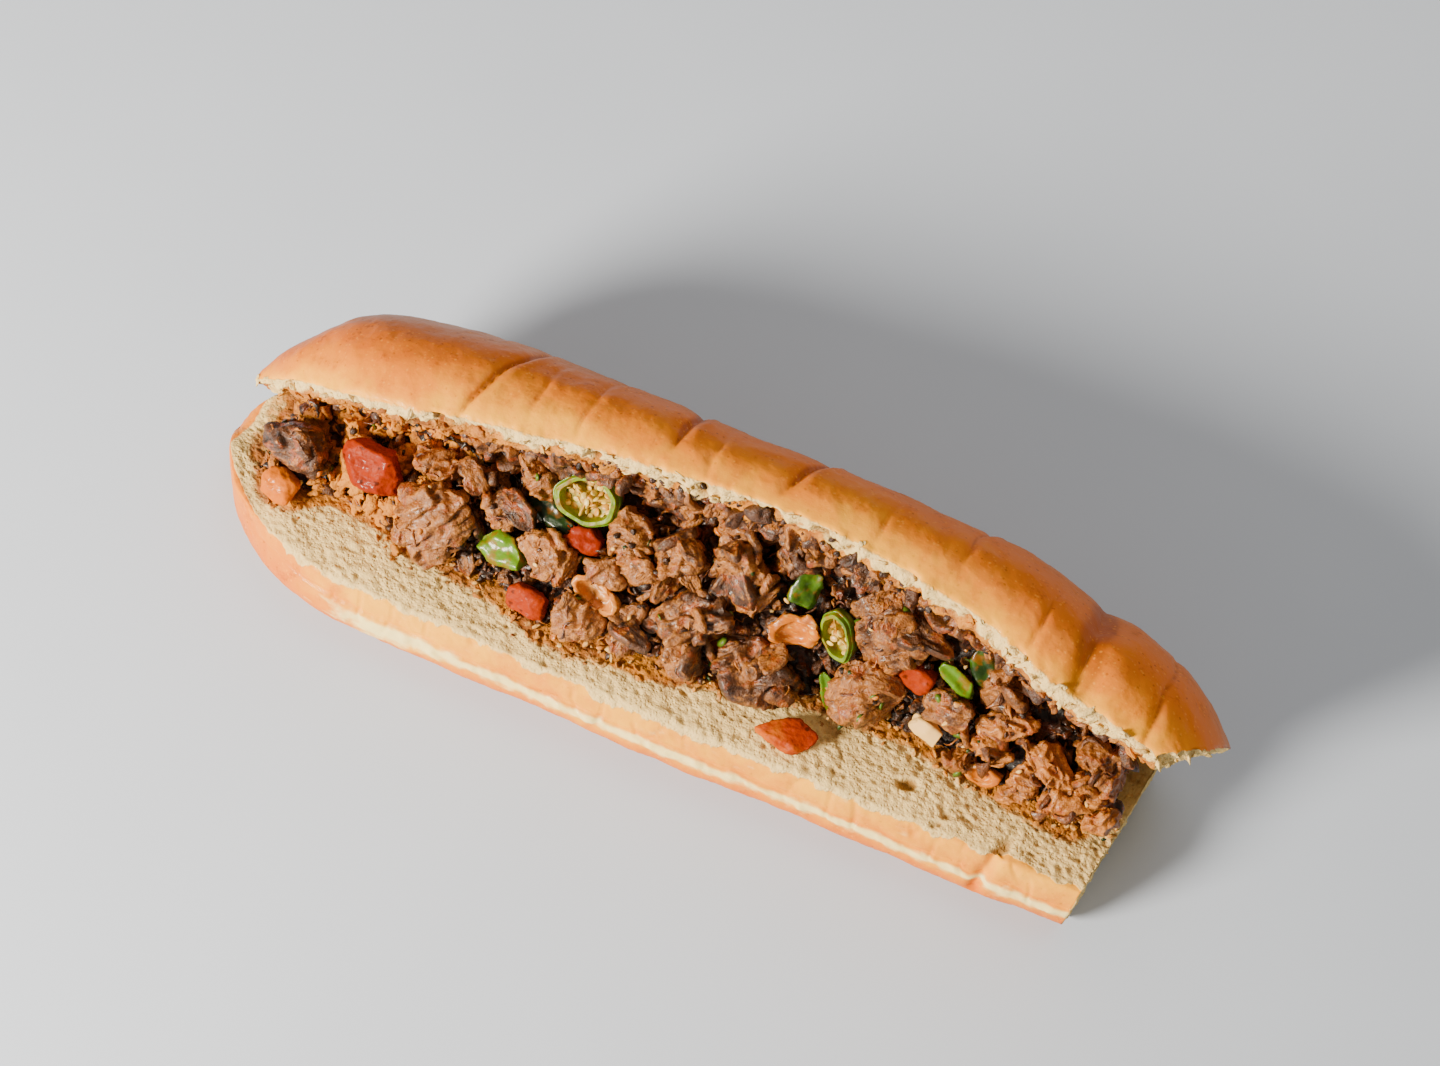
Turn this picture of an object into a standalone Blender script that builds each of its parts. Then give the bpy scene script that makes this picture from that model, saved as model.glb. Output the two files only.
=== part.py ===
"""A long soft roll, slit along one side and filled with fried meat, tomato, green pepper and onion.

Metres, with +Z up. X runs along the roll, from its round end to its cut end. Y runs from the open front
to the hinged back, where the lid stands up behind the filling. The origin is on the surface that the roll
rests on, under the middle of its box. Sizes below are in millimetres until a point is made.
"""

import math

import bmesh
import bpy
import numpy as np
from mathutils import Euler, Matrix, Vector, noise

MM = 0.001

# The roll: each table is a run of (distance from the round end, value) along the roll
FRONT = ((0, 33), (1, 29), (5, 21.5), (13, 11.5), (27, 3), (41, -0.5), (62, -1.5), (125, -1),
         (200, 1), (250, 2.5))
BACK = ((0, 37), (1, 40), (5, 46), (13, 53), (27, 59.5), (41, 62), (60, 63), (200, 62), (230, 57),
        (250, 51))
HINGE = ((0, 44), (12, 50), (30, 55), (60, 57), (200, 56), (230, 51), (250, 46))
HINGE_HEIGHT = 19
HEEL_HEIGHT = 21
HEEL_TOP = ((0, 10.5), (1, 13.5), (3, 15.8), (6, 17.2), (12, 18.6), (30, 21), (250, 21))
HEEL_UNDERSIDE = ((0, 7.5), (1, 4.6), (3, 2.6), (8, 0.9), (16, 0.1), (22, 0), (250, 0))
CUT_SLANT = 0.15
CUT_SLANT_FROM = 215
HEEL_LENGTH = 249.5

# The lid, turned back about the hinge: its opening angle, and its reach and height from the hinge line
LID_START = 11
LID_END = 246
LID_ANGLE = ((11, 63), (22, 64), (48, 66), (73, 71), (116, 78), (155, 81), (192, 77), (222, 71),
             (246, 71))
LID_REACH = ((11, 27), (22, 38), (48, 50), (73, 52), (116, 54), (200, 54), (228, 53), (246, 50))
LID_ROOT = ((11, 21), (13, 13), (16, 8), (22, 3), (40, -4), (60, -6), (246, -6))
CROWN = ((11, 3), (14, 8), (19, 12), (28, 18.5), (40, 22), (65, 23), (90, 21.6), (127, 20), (155, 19.9),
         (176, 20.9), (200, 22.2), (215, 22.6), (228, 21.4), (233, 19.7), (238, 16.4), (243, 11.8), (246, 8.6))
CRUMB_BULGE = ((11, 1.5), (20, 4), (60, 3.5), (150, 2.4), (225, 4), (246, 3.5))
CROWN_OVERHANG = 13.5
CROWN_OVERHANG_FROM = 214
LID_END_LEAN = 5

# Creases across the lid: place along the roll, depth, half width, and how far each leans along the roll
CREASES = ((73, 1.6, 2.6, 16), (118, 2.4, 2.8, -3), (149, 2.2, 2.8, 12), (224, 2.6, 4.0, -4))

# The filling: where its front lies on the crumb, and how far it is heaped above the crumb at the back
HEAP_FRONT = ((12, 27), (18, 19), (27, 18), (37, 22), (50, 21), (61, 18), (76, 18), (87, 15), (102, 12),
              (119, 14), (136, 17), (151, 20), (165, 24), (194, 25.5), (218, 21.5), (232, 20), (243, 24),
              (250, 26))
HEAP_RISE = ((8, 6), (20, 10), (40, 17), (70, 22), (110, 26), (160, 27), (200, 24), (225, 17), (250, 11))
HEAP_START = 14
HEAP_END = 244
HEAP_END_SLOPE = 9
HEAP_TOP_INSET = 8
HEAP_SINK = 2.4
CLEARANCE = 0.6
PIECE_GAP = 0.5
HEAP_GAP = 0.5
SLIVER = 0.05
FLAT_ANGLE = 1.5
ROLL_FLAT_ANGLE = 0.8

# Pieces in the filling, in the order in which each keeps its shape against the ones after it:
# place along the roll and back from its front, lift off the heap, length, width, thickness, turn and tilt
MEAT_CHUNKS = (
    (25, 31, 2.0, 17, 13, 12, 10, 20),
    (67, 26, 2.5, 21, 19, 10, 10, 0),
    (178, 43, 1.0, 24, 17, 14, -20, 0),
    (133, 27.5, 2.0, 28, 10.5, 8, 40, -10),
    (150, 24, 1.5, 26, 13, 10, 2, 0),
    (177, 31, 1.5, 16, 16, 12, 8, 10),
    (143, 40, 2.5, 20, 11, 6, -25, 10),
    (97, 28, 1.5, 18, 12, 8, -15, 0),
    (125, 39, 2.0, 12, 11, 8, 25, -15),
    (114, 39, 0.5, 11, 10, 9, -20, 10),
    (118, 33.5, 3.0, 12, 9, 6, 12, 20),
    (108, 18, 1.5, 15, 9, 8, -5, 0),
    (135, 20, 1.5, 12, 11, 8, 32, 10),
    (61, 37, 0.5, 14, 11, 9, -12, 0),
    (80, 34, 1.5, 11, 10, 8, 25, 15),
    (136, 47, 0.5, 12, 9, 7, -30, 0),
    (153, 48, 0.0, 11, 8, 8, -10, 0),
    (198, 33, 1.5, 12, 11, 9, -40, 10),
    (208, 41, 0.5, 14, 9, 8, -15, 0),
    (237, 35, 1.0, 14, 8, 7, -15, 0),
    (109, 30, 1.0, 12, 8, 6, 22, 0),
    (72, 38, 0.5, 10, 9, 8, 40, 0),
    (86, 43, 0.0, 12, 9, 7, 5, 0),
    (119, 21, 0.5, 14, 9, 8, 60, 0),
    (206, 25, 0.5, 8, 7, 6, -50, 0),
)
MEAT_SHREDS = (
    (212, 34, 2.0, 14, 7, 5, 20, 10),
    (226, 30, 2.0, 16, 7, 5, -30, 0),
    (221, 25, 1.5, 12, 7, 5, 62, 0),
    (232, 25, 1.5, 13, 7, 5, 20, 0),
    (237, 29, 1.5, 11, 6, 5, -40, 0),
    (211, 29, 1.0, 12, 6, 5, -10, 0),
    (241, 26, 0.5, 9, 7, 6, 10, 0),
)
TOMATO_PIECES = (
    (44.5, 32, 2.5, 19, 14, 9, -5, 10),
    (165, 13, 1.5, 18, 10, 5, 22, 0),
    (23, 20.5, 1.5, 10.5, 9.5, 6, 0, 0),
    (188, 36, 2.0, 12, 9, 6, -5, 15),
    (94, 18, 0.5, 13, 9, 6, 0, 0),
    (101, 34.5, 0.0, 14, 9, 6, -10, 0),
)
PEPPER_SLICES = (
    (100, 42, 3.0, 18, 14, 4, 12, 12),
    (168, 37, 2.5, 14, 9, 4, -60, 20),
)
PEPPER_STRIPS = (
    (157, 42, 2.0, 12, 9, 3.4, 80, 20),
    (83, 25.5, 1.0, 14, 12, 4, -8, 0),
    (92, 37, 0.5, 13, 10, 3.4, -20, 0),
    (198, 38, 3.5, 11, 6, 3, -28, 10),
    (203, 42.5, 1.5, 11, 8, 3, -60, 0),
    (170, 27, 1.5, 13, 4, 2.6, -64, 0),
)
ONION_PIECES = (
    (110, 24, 2.5, 13, 9, 3, -15, 10),
    (158, 34, 2.5, 13, 11, 3, 20, 10),
    (195, 28, 2.0, 11, 7, 4, -18, 10),
    (212, 24, 1.0, 9, 6, 3, 0, 0),
)

# Small scraps of mince and onion fused to the heap
SCRAPS = 24
SCRAP_SIZE = (4.0, 7.0)
SEED = 7

HEEL_PROFILE = ((-0.79, 1.0), (-0.87, 0.8), (-0.95, 0.58), (-1.0, 0.38), (-0.97, 0.2), (-0.88, 0.05),
                (-0.74, 0.0),
                (-0.3, 0.0), (0.3, 0.0), (0.72, 0.0), (0.88, 0.06), (0.97, 0.2), (1.0, 0.42),
                (0.98, 0.7), (0.93, 1.0))
HEEL_FACE_POINTS = 8
HEAP_STATIONS = 26
HEAP_POINTS = 9
LID_DOME_POINTS = 14
LID_FACE_POINTS = 7
LID_FULLNESS = 0.86
STATION_STEP = 12
TIP_STATIONS = (0, 1, 3, 6, 10, 15, 21, 28, 37, 48)
SLICE_PROFILE = ((0.35, 0.16), (0.66, 0.16), (0.78, 0.5), (0.93, 0.5), (1.0, 0.2), (1.0, -0.2),
                 (0.93, -0.5),
                 (0.78, -0.5), (0.66, -0.16), (0.35, -0.16))
SLICE_COVER = ((0.35, 0.5), (0.66, 0.5), (0.93, 0.5), (1.0, 0.2), (1.0, -0.2), (0.93, -0.5),
               (0.66, -0.5), (0.35, -0.5))
SLICE_SIDES = 12


def clear_scene():
    for thing in list(bpy.data.objects):
        bpy.data.objects.remove(thing)


def new_collection(name):
    collection = bpy.data.collections.new(name)
    bpy.context.scene.collection.children.link(collection)
    return collection


def along(table, x):
    """The value of a table at x, on a smooth curve that keeps between its neighbours."""
    xs = [row[0] for row in table]
    ys = [row[1] for row in table]
    x = min(max(x, xs[0]), xs[-1])
    k = min(max(int(np.searchsorted(xs, x)) - 1, 0), len(xs) - 2)
    steps = [(ys[i + 1] - ys[i]) / (xs[i + 1] - xs[i]) for i in range(len(xs) - 1)]

    def slope(i):
        if i in (0, len(xs) - 1):
            return steps[min(i, len(steps) - 1)]
        before, after = steps[i - 1], steps[i]
        return 0.0 if before * after <= 0 else 2 * before * after / (before + after)

    span = xs[k + 1] - xs[k]
    t = (x - xs[k]) / span
    return (ys[k] * (1 + 2 * t) * (1 - t) ** 2 + slope(k) * span * t * (1 - t) ** 2
            + ys[k + 1] * t * t * (3 - 2 * t) + slope(k + 1) * span * t * t * (t - 1))


def ramp(x, start, end):
    """Rises smoothly from 0 at start to 1 at end, which may come before start."""
    t = min(max((x - start) / (end - start), 0.0), 1.0)
    return t * t * (3 - 2 * t)


def roll_stations(start, end):
    """Distances along the roll where a section is drawn, closer together round the tip."""
    body = np.arange(TIP_STATIONS[-1] + STATION_STEP, end - 4, STATION_STEP)
    return sorted({start, *(x for x in TIP_STATIONS if x > start + 0.5), *body, end})


def lid_stations():
    stations = set(roll_stations(LID_START, LID_END)) | {12.5, 236}
    for place, _, half_width, _ in CREASES:
        stations = {x for x in stations if abs(x - place) > 2 * half_width or x in (LID_START, LID_END)}
    for place, _, half_width, _ in CREASES:
        stations |= {place - 1.5 * half_width, place, place + 1.5 * half_width}
    return sorted(x for x in stations if LID_START <= x <= LID_END)


def heel_face_height(x, share):
    """Height of the heel's cut face, where share runs from 0 at its front edge to 1 at its back."""
    edge = along(HEEL_TOP, x)
    pressed = 3.0 * ramp(share, 0.05, 0.6)
    waves = 0.5 * noise.noise(Vector((x / 17, share * 4, 3.1)))
    return edge - pressed + waves


def heel_edges(x):
    """Front and back ends of the heel's cut face."""
    front, back = along(FRONT, x), along(BACK, x)
    middle, half = (front + back) / 2, (back - front) / 2
    return middle + HEEL_PROFILE[0][0] * half, middle + HEEL_PROFILE[-1][0] * half


def heel_ring(x):
    front, back = along(FRONT, x), along(BACK, x)
    middle, half = (front + back) / 2, (back - front) / 2
    lift = along(HEEL_UNDERSIDE, x)
    ring = []
    for across, up in HEEL_PROFILE:
        top = heel_face_height(x, 0 if across < 0 else 1)
        ring.append((middle + across * half, lift + up * (top - lift)))
    face_front, face_back = heel_edges(x)
    for k in range(HEEL_FACE_POINTS, 0, -1):
        share = k / (HEEL_FACE_POINTS + 1)
        ring.append((face_front + share * (face_back - face_front), heel_face_height(x, share)))
    slant = CUT_SLANT * ramp(x, CUT_SLANT_FROM, HEEL_LENGTH)
    return [Vector((x + slant * (y - along(HINGE, x)), y, z)) for y, z in ring]


def crease_dip(x, turn):
    """How deep the creases are here; turn is 0 at the front edge and 1 at the back."""
    dip = 0.0
    for place, depth, half_width, lean in CREASES:
        reach = (x - place - lean * (turn - 0.25)) / half_width
        dip += depth * math.exp(-reach * reach) * math.sin(math.pi * min(1.0, 0.12 + turn))
    return dip


def swing(x, reach, height):
    """A point of the turned-back lid: reach from the hinge along its cut face, and height off that face."""
    angle = math.radians(along(LID_ANGLE, x))
    return (along(HINGE, x) - reach * math.cos(angle) + height * math.sin(angle),
            HINGE_HEIGHT + reach * math.sin(angle) + height * math.cos(angle))


def lid_face(x, share, offset=0.0):
    """A point on the lid's cut face, where share runs from 0 at its root to 1 at its front edge."""
    root, reach = along(LID_ROOT, x), along(LID_REACH, x)
    bulge = along(CRUMB_BULGE, x) * share ** 0.8 * (1 - share ** 8)
    waves = 0.4 * noise.noise(Vector((x / 15, share * 4, 8.7))) * math.sin(math.pi * share)
    return swing(x, root + share * (reach - root), waves - bulge - offset)


def lid_ring(x):
    root, reach, crown = along(LID_ROOT, x), along(LID_REACH, x), along(CROWN, x)
    overhang = CROWN_OVERHANG * ramp(x, CROWN_OVERHANG_FROM, LID_END)
    lean = LID_END_LEAN * ramp(x, CROWN_OVERHANG_FROM, LID_END)
    middle, half = (root + reach) / 2, (reach - root) / 2
    ring = []
    for k in range(LID_DOME_POINTS):
        turn = math.pi * k / (LID_DOME_POINTS - 1)
        swell = 1 + 0.03 * noise.noise(Vector((x / 22, turn, 5.5)))
        shrink = 1 - crease_dip(x, 1 - turn / math.pi) / max(crown, 8)
        rounding = math.sin(turn) ** LID_FULLNESS if 0 < k < LID_DOME_POINTS - 1 else 0.0
        height = crown * rounding * swell * shrink
        y, z = swing(x, middle - half * math.cos(turn), height)
        share = (1 - math.cos(turn)) / 2
        ring.append(Vector((x + overhang * math.sin(turn) + lean * (1 - share), y, z)))
    for k in range(LID_FACE_POINTS, 0, -1):
        share = k / (LID_FACE_POINTS + 1)
        ring.append(Vector((x + lean * (1 - share), *lid_face(x, share))))
    return ring


def room_ring(x, far_x):
    """The open space between the two cut faces, a little clear of both."""
    face_front, _ = heel_edges(x)
    hinge = along(HINGE, x)
    ring = [(-60, heel_face_height(x, 0) + CLEARANCE)]
    for k in range(HEEL_FACE_POINTS):
        y = face_front + k / (HEEL_FACE_POINTS - 1) * (hinge - 6 - face_front)
        share = (y - face_front) / (heel_edges(x)[1] - face_front)
        ring.append((y, heel_face_height(x, share) + CLEARANCE))
    for k in range(LID_FACE_POINTS):
        share = 0.2 + 0.8 * k / (LID_FACE_POINTS - 1)
        ring.append(lid_face(max(x, LID_START), share, CLEARANCE))
    edge = Vector(ring[-1])
    rise = edge - Vector(lid_face(max(x, LID_START), 0.6, CLEARANCE))
    ring.append(tuple(edge + rise.normalized() * 60))
    ring.append((-60, 160))
    return [Vector((far_x, y, z)) for y, z in ring]


def heap_height(x, y):
    """Height of the filling's free surface."""
    front, top = along(HEAP_FRONT, x), along(HINGE, x) - HEAP_TOP_INSET
    share = min(max((y - front) / (top - front), 0.0), 1.15)
    return HEEL_HEIGHT + along(HEAP_RISE, x) * share ** 0.8


def heap_slope(x, y):
    """The way the free surface faces."""
    step = 2.0
    run_x = (heap_height(x + step, y) - heap_height(x - step, y)) / (2 * step)
    run_y = (heap_height(x, y + step) - heap_height(x, y - step)) / (2 * step)
    return Vector((-run_x, -run_y, 1)).normalized()


def heap_ring(x, growth):
    """A section of the heap, or with growth of the space that pieces keep clear of."""
    front, back = along(HEAP_FRONT, x), along(HINGE, x) + 8
    start_fullness = ramp(x, HEAP_START - 4, HEAP_START + HEAP_END_SLOPE)
    end_fullness = ramp(x, HEAP_END + 3, HEAP_END - HEAP_END_SLOPE)
    ring = [(front - 1 - growth, HEEL_HEIGHT - 8)]
    for k in range(HEAP_POINTS):
        y = front + (back - front) * k / (HEAP_POINTS - 1)
        lumps = 1.6 * noise.noise(Vector((x / 7, y / 7, 1.3)))
        rise = start_fullness * end_fullness * (heap_height(x, y) - HEEL_HEIGHT)
        surface = HEEL_HEIGHT - HEAP_SINK + rise
        ring.append((y - growth, surface + lumps + growth))
    ring.append((back, 2))
    return [Vector((x, y, z)) for y, z in ring]


def heap_loft(name, growth, collection):
    stations = np.linspace(HEAP_START, HEAP_END, HEAP_STATIONS)
    ends = [stations[0] - 1.5 * growth, *stations[1:-1], stations[-1] + 1.5 * growth]
    rings = [heap_ring(x, growth) for x in stations]
    for ring, x in zip(rings, ends):
        for point in ring:
            point.x = x
    return loft(name, rings, collection)


def mesh_object(name, bm, collection):
    bmesh.ops.recalc_face_normals(bm, faces=bm.faces)
    mesh = bpy.data.meshes.new(name)
    bm.to_mesh(mesh)
    bm.free()
    made = bpy.data.objects.new(name, mesh)
    collection.objects.link(made)
    return made


def loft(name, rings, collection):
    """A closed solid through rings of equal count, given in millimetres."""
    bm = bmesh.new()
    loops = [[bm.verts.new(point * MM) for point in ring] for ring in rings]
    for near, far in zip(loops, loops[1:]):
        for k in range(len(near)):
            after = (k + 1) % len(near)
            bm.faces.new((near[k], near[after], far[after]))
            bm.faces.new((near[k], far[after], far[k]))
    ends = [bm.faces.new(loops[0]), bm.faces.new(loops[-1])]
    bmesh.ops.triangulate(bm, faces=ends)
    return mesh_object(name, bm, collection)


def keep_largest(bm):
    """Drops the loose scraps that a cut leaves."""
    left = set(bm.verts)
    islands = []
    while left:
        island, edge = set(), [left.pop()]
        while edge:
            vert = edge.pop()
            island.add(vert)
            linked = {e.other_vert(vert) for e in vert.link_edges} & left
            left -= linked
            edge.extend(linked)
        islands.append(island)
    islands.sort(key=len)
    loose = [vert for island in islands[:-1] for vert in island]
    bmesh.ops.delete(bm, geom=loose, context="VERTS")


def is_closed(bm):
    return (len(bm.faces) > 0 and all(edge.is_manifold for edge in bm.edges)
            and all(face.calc_area() > 1e-12 for face in bm.faces))


def lighten(bm, flat_angle):
    """Merges the slivers and flat splits that a cut leaves."""
    bmesh.ops.dissolve_limit(bm, angle_limit=math.radians(flat_angle), verts=bm.verts, edges=bm.edges)
    bmesh.ops.triangulate(bm, faces=bm.faces)
    bmesh.ops.remove_doubles(bm, verts=bm.verts, dist=SLIVER * MM)
    bmesh.ops.dissolve_degenerate(bm, edges=bm.edges, dist=SLIVER * MM)
    bmesh.ops.triangulate(bm, faces=bm.faces)


def boolean_result(target, other, operation, solver):
    modifier = target.modifiers.new("shape", "BOOLEAN")
    modifier.operation = operation
    modifier.solver = solver
    if isinstance(other, bpy.types.Collection):
        modifier.operand_type = "COLLECTION"
        modifier.collection = other
    else:
        modifier.object = other
    graph = bpy.context.evaluated_depsgraph_get()
    result = bpy.data.meshes.new_from_object(target.evaluated_get(graph))
    target.modifiers.clear()
    bm = bmesh.new()
    bm.from_mesh(result)
    bpy.data.meshes.remove(result)
    keep_largest(bm)
    bmesh.ops.triangulate(bm, faces=bm.faces)
    return bm


def combine(target, other, operation, flat_angle=FLAT_ANGLE):
    """Applies one Boolean to target; other is an object or a collection, and stays as it was."""
    plain = boolean_result(target, other, operation, "EXACT")
    if not is_closed(plain):
        plain.free()
        plain = boolean_result(target, other, operation, "MANIFOLD")
    light = plain.copy()
    lighten(light, flat_angle)
    (light if is_closed(light) else plain).to_mesh(target.data)
    plain.free()
    light.free()


def empty_collection(collection):
    for thing in list(collection.objects):
        bpy.data.objects.remove(thing)


def paint(thing, name, colour, roughness):
    """One plain material, shared by everything of its name."""
    material = bpy.data.materials.get(name)
    if material is None:
        material = bpy.data.materials.new(name)
        material.use_nodes = True
        shader = material.node_tree.nodes["Principled BSDF"]
        shader.inputs["Base Color"].default_value = (*colour, 1)
        shader.inputs["Roughness"].default_value = roughness
        shader.inputs["Metallic"].default_value = 0
    thing.data.materials.clear()
    thing.data.materials.append(material)


def make_roll(collection):
    """The heel and the lid are one piece, joined along the uncut back."""
    roll = loft("bread_roll", [heel_ring(x) for x in roll_stations(0, HEEL_LENGTH)], collection)
    lid = loft("lid", [lid_ring(x) for x in lid_stations()], collection)
    combine(roll, lid, "UNION", ROLL_FLAT_ANGLE)
    bpy.data.objects.remove(lid)
    roll.data.shade_smooth()
    roll.data.set_sharp_from_angle(angle=math.radians(40))
    paint(roll, "baked crust", (0.80, 0.47, 0.20), 0.45)
    return roll


def make_room(collection):
    stations = roll_stations(0, HEEL_LENGTH)
    rings = [room_ring(0, -40)] + [room_ring(x, x) for x in stations] + [room_ring(HEEL_LENGTH, 300)]
    return loft("room for filling", rings, collection)


def lump(name, size, growth, boxiness, roughness, seed, collection):
    """A faceted lump of food: a rounded block with uneven sides."""
    bm = bmesh.new()
    bmesh.ops.create_icosphere(bm, subdivisions=2, radius=1)
    half = Vector(extent / 2 + growth for extent in size) * MM
    for vert in bm.verts:
        way = vert.co.normalized()
        block = sum(abs(part) ** boxiness for part in way) ** (-1 / boxiness)
        uneven = 1 + roughness * noise.noise(way * 1.9 + Vector((seed * 3.7, seed, 0)))
        vert.co = Vector(part * extent for part, extent in zip(way * block * uneven, half))
    return mesh_object(name, bm, collection)


def bent_strip(name, size, growth, arc, collection):
    """A strip of skin or of onion, curved across its width like the wall that it was cut from."""
    length, width, thick = size
    arc = min(math.radians(arc), width / (1.5 * thick))
    radius = width / arc
    steps, cuts = 4, 4
    rings = []
    for j in range(cuts + 1):
        share = j / cuts - 0.5
        narrow = math.sqrt(1 - 0.85 * (2 * share) ** 4)
        half_turn = arc / 2 * narrow + growth / radius
        turns = [half_turn * (2 * k / steps - 1) for k in range(steps + 1)]
        ring = []
        for reach, order in ((radius + growth, turns), (radius - thick - growth, turns[::-1])):
            ring += [Vector((share * (length + 2 * growth), reach * math.sin(turn),
                             reach * math.cos(turn) - radius + thick / 2)) for turn in order]
        rings.append(ring)
    return loft(name, rings, collection)


def slice_disc(name, size, profile, collection):
    """A slice across a pepper: a ring of wall, with its seeded middle a little sunk on both sides."""
    length, width, thick = size
    turns = [2 * math.pi * k / SLICE_SIDES for k in range(SLICE_SIDES)]
    rings = []
    for reach, level in profile:
        across = reach * width / 2
        rings.append([Vector((reach * length / 2 * math.cos(turn), across * math.sin(turn), level * thick))
                      for turn in turns])
    return loft(name, rings, collection)


def lay_on_heap(thing, row):
    """Turns a piece to lie on the heap's slope, at its place along and across the roll."""
    x, y, lift, _, _, _, turn, tilt = row
    normal = heap_slope(x, y)
    upright = Vector((0, 0, 1)).rotation_difference(normal).to_matrix().to_4x4()
    spin = Euler((math.radians(tilt), 0, math.radians(turn))).to_matrix().to_4x4()
    place = Matrix.Translation(Vector((x, y, heap_height(x, y) + lift)) * MM)
    thing.data.transform(place @ upright @ spin)


def shape_meat(name, size, growth, seed, collection):
    return lump(name, size, growth, 3.4, 0.34, seed, collection)


def shape_shred(name, size, growth, seed, collection):
    return lump(name, size, growth, 2.4, 0.6, seed + 40, collection)


def shape_tomato(name, size, growth, seed, collection):
    return lump(name, size, growth, 2.7, 0.16, seed + 80, collection)


def shape_strip(name, size, growth, seed, collection):
    return bent_strip(name, size, growth, 110 + 12 * (seed % 3), collection)


def shape_onion(name, size, growth, seed, collection):
    return bent_strip(name, size, growth, 70 + 15 * (seed % 3), collection)


def shape_slice(name, size, growth, seed, collection):
    profile = SLICE_COVER if growth else SLICE_PROFILE
    return slice_disc(name, [extent + 2 * growth for extent in size], profile, collection)


KINDS = (
    ("pepper_slice", PEPPER_SLICES, shape_slice, (0.20, 0.38, 0.03), 0.25),
    ("pepper_strip", PEPPER_STRIPS, shape_strip, (0.08, 0.26, 0.03), 0.25),
    ("tomato_piece", TOMATO_PIECES, shape_tomato, (0.75, 0.16, 0.03), 0.25),
    ("onion_piece", ONION_PIECES, shape_onion, (0.72, 0.50, 0.25), 0.30),
    ("meat_chunk", MEAT_CHUNKS, shape_meat, (0.36, 0.21, 0.14), 0.45),
    ("meat_shred", MEAT_SHREDS, shape_shred, (0.50, 0.26, 0.13), 0.45),
)


def boxes_meet(one, other):
    low_a, high_a = np.array(one.bound_box).min(0), np.array(one.bound_box).max(0)
    low_b, high_b = np.array(other.bound_box).min(0), np.array(other.bound_box).max(0)
    return bool(np.all(low_a < high_b) and np.all(low_b < high_a))


def make_pieces(collection, fitting, room):
    """Every piece of the filling that shows, each cut clear of the bread and of the pieces before it."""
    cutters = []
    for kind, rows, shape, colour, roughness in KINDS:
        for number, row in enumerate(rows, 1):
            name = f"{kind}_{number:02d}"
            size = row[3:6]
            piece = shape(name, size, 0, number, collection)
            lay_on_heap(piece, row)
            combine(piece, room, "INTERSECT")
            for cutter in cutters:
                if boxes_meet(piece, cutter):
                    combine(piece, cutter, "DIFFERENCE")
            cutter = shape(name + " gap", size, PIECE_GAP, number, fitting)
            lay_on_heap(cutter, row)
            cutters.append(cutter)
            paint(piece, kind.replace("_", " "), colour, roughness)


def clear_of_pieces(x, y):
    rows = [row for kind in KINDS for row in kind[1]]
    return all(math.hypot(x - row[0], y - row[1]) > 0.3 * (row[3] + row[4]) for row in rows)


def scrap_places():
    """Seeded places for the small scraps, between the larger pieces."""
    rng = np.random.default_rng(SEED)
    places = []
    while len(places) < SCRAPS:
        x = rng.uniform(HEAP_START + 4, HEAP_END - 6)
        front = along(HEAP_FRONT, x)
        y = front + 2 + rng.uniform(0, 1) * (along(HINGE, x) - HEAP_TOP_INSET - 4 - front)
        size, turn = rng.uniform(*SCRAP_SIZE, 3), rng.uniform(0, 6, 3)
        if clear_of_pieces(x, y):
            places.append((x, y, size, turn))
    return places


def add_scraps(heap, growth, holder):
    """Fuses the small scraps to the heap."""
    for number, (x, y, size, turn) in enumerate(scrap_places()):
        bm = bmesh.new()
        bmesh.ops.create_icosphere(bm, subdivisions=1, radius=0.5)
        bmesh.ops.scale(bm, vec=Vector(size + 2 * growth) * MM, verts=bm.verts)
        scrap = mesh_object(f"scrap {number}", bm, holder)
        place = Vector((x, y, heap_height(x, y) - HEAP_SINK + 0.8)) * MM
        scrap.data.transform(Matrix.Translation(place) @ Euler(turn).to_matrix().to_4x4())
    combine(heap, holder, "UNION")
    empty_collection(holder)


def make_heap(collection, scraps, room):
    """The mince and juices under the pieces, with small scraps fused on."""
    heap = heap_loft("filling_heap", 0, collection)
    add_scraps(heap, 0, scraps)
    combine(heap, room, "INTERSECT")
    paint(heap, "filling heap", (0.42, 0.20, 0.07), 0.5)


def take_heap_from(room, spaces, scraps):
    """Leaves in the room only what is clear of the heap."""
    grown = heap_loft("grown heap", HEAP_GAP, spaces)
    add_scraps(grown, HEAP_GAP, scraps)
    combine(room, grown, "DIFFERENCE")


def centre_on_base(objects):
    """Moves everything so that the origin is under the middle of the box, on the surface."""
    corners = np.array([vert.co for thing in objects for vert in thing.data.vertices])
    low, high = corners.min(0), corners.max(0)
    shift = Matrix.Translation((-(low[0] + high[0]) / 2, -(low[1] + high[1]) / 2, -low[2]))
    for thing in objects:
        thing.data.transform(shift)


def main():
    clear_scene()
    sandwich = new_collection("sandwich")
    fitting = new_collection("clearances between pieces")
    scraps = new_collection("scraps")
    spaces = new_collection("spaces")
    make_roll(sandwich)
    room = make_room(spaces)
    make_heap(sandwich, scraps, room)
    take_heap_from(room, spaces, scraps)
    make_pieces(sandwich, fitting, room)
    for collection in (fitting, scraps, spaces):
        empty_collection(collection)
        bpy.data.collections.remove(collection)
    centre_on_base(list(sandwich.objects))


main()
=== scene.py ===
"""The looks of a long soft roll filled with fried meat, tomato, green pepper and onion.

Sizes are in millimetres, along the roll from its round end, back from its front and up from its base.
"""

import math

import bmesh
import bpy
import numpy as np
from mathutils import Matrix, Vector
from mathutils.bvhtree import BVHTree


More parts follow.
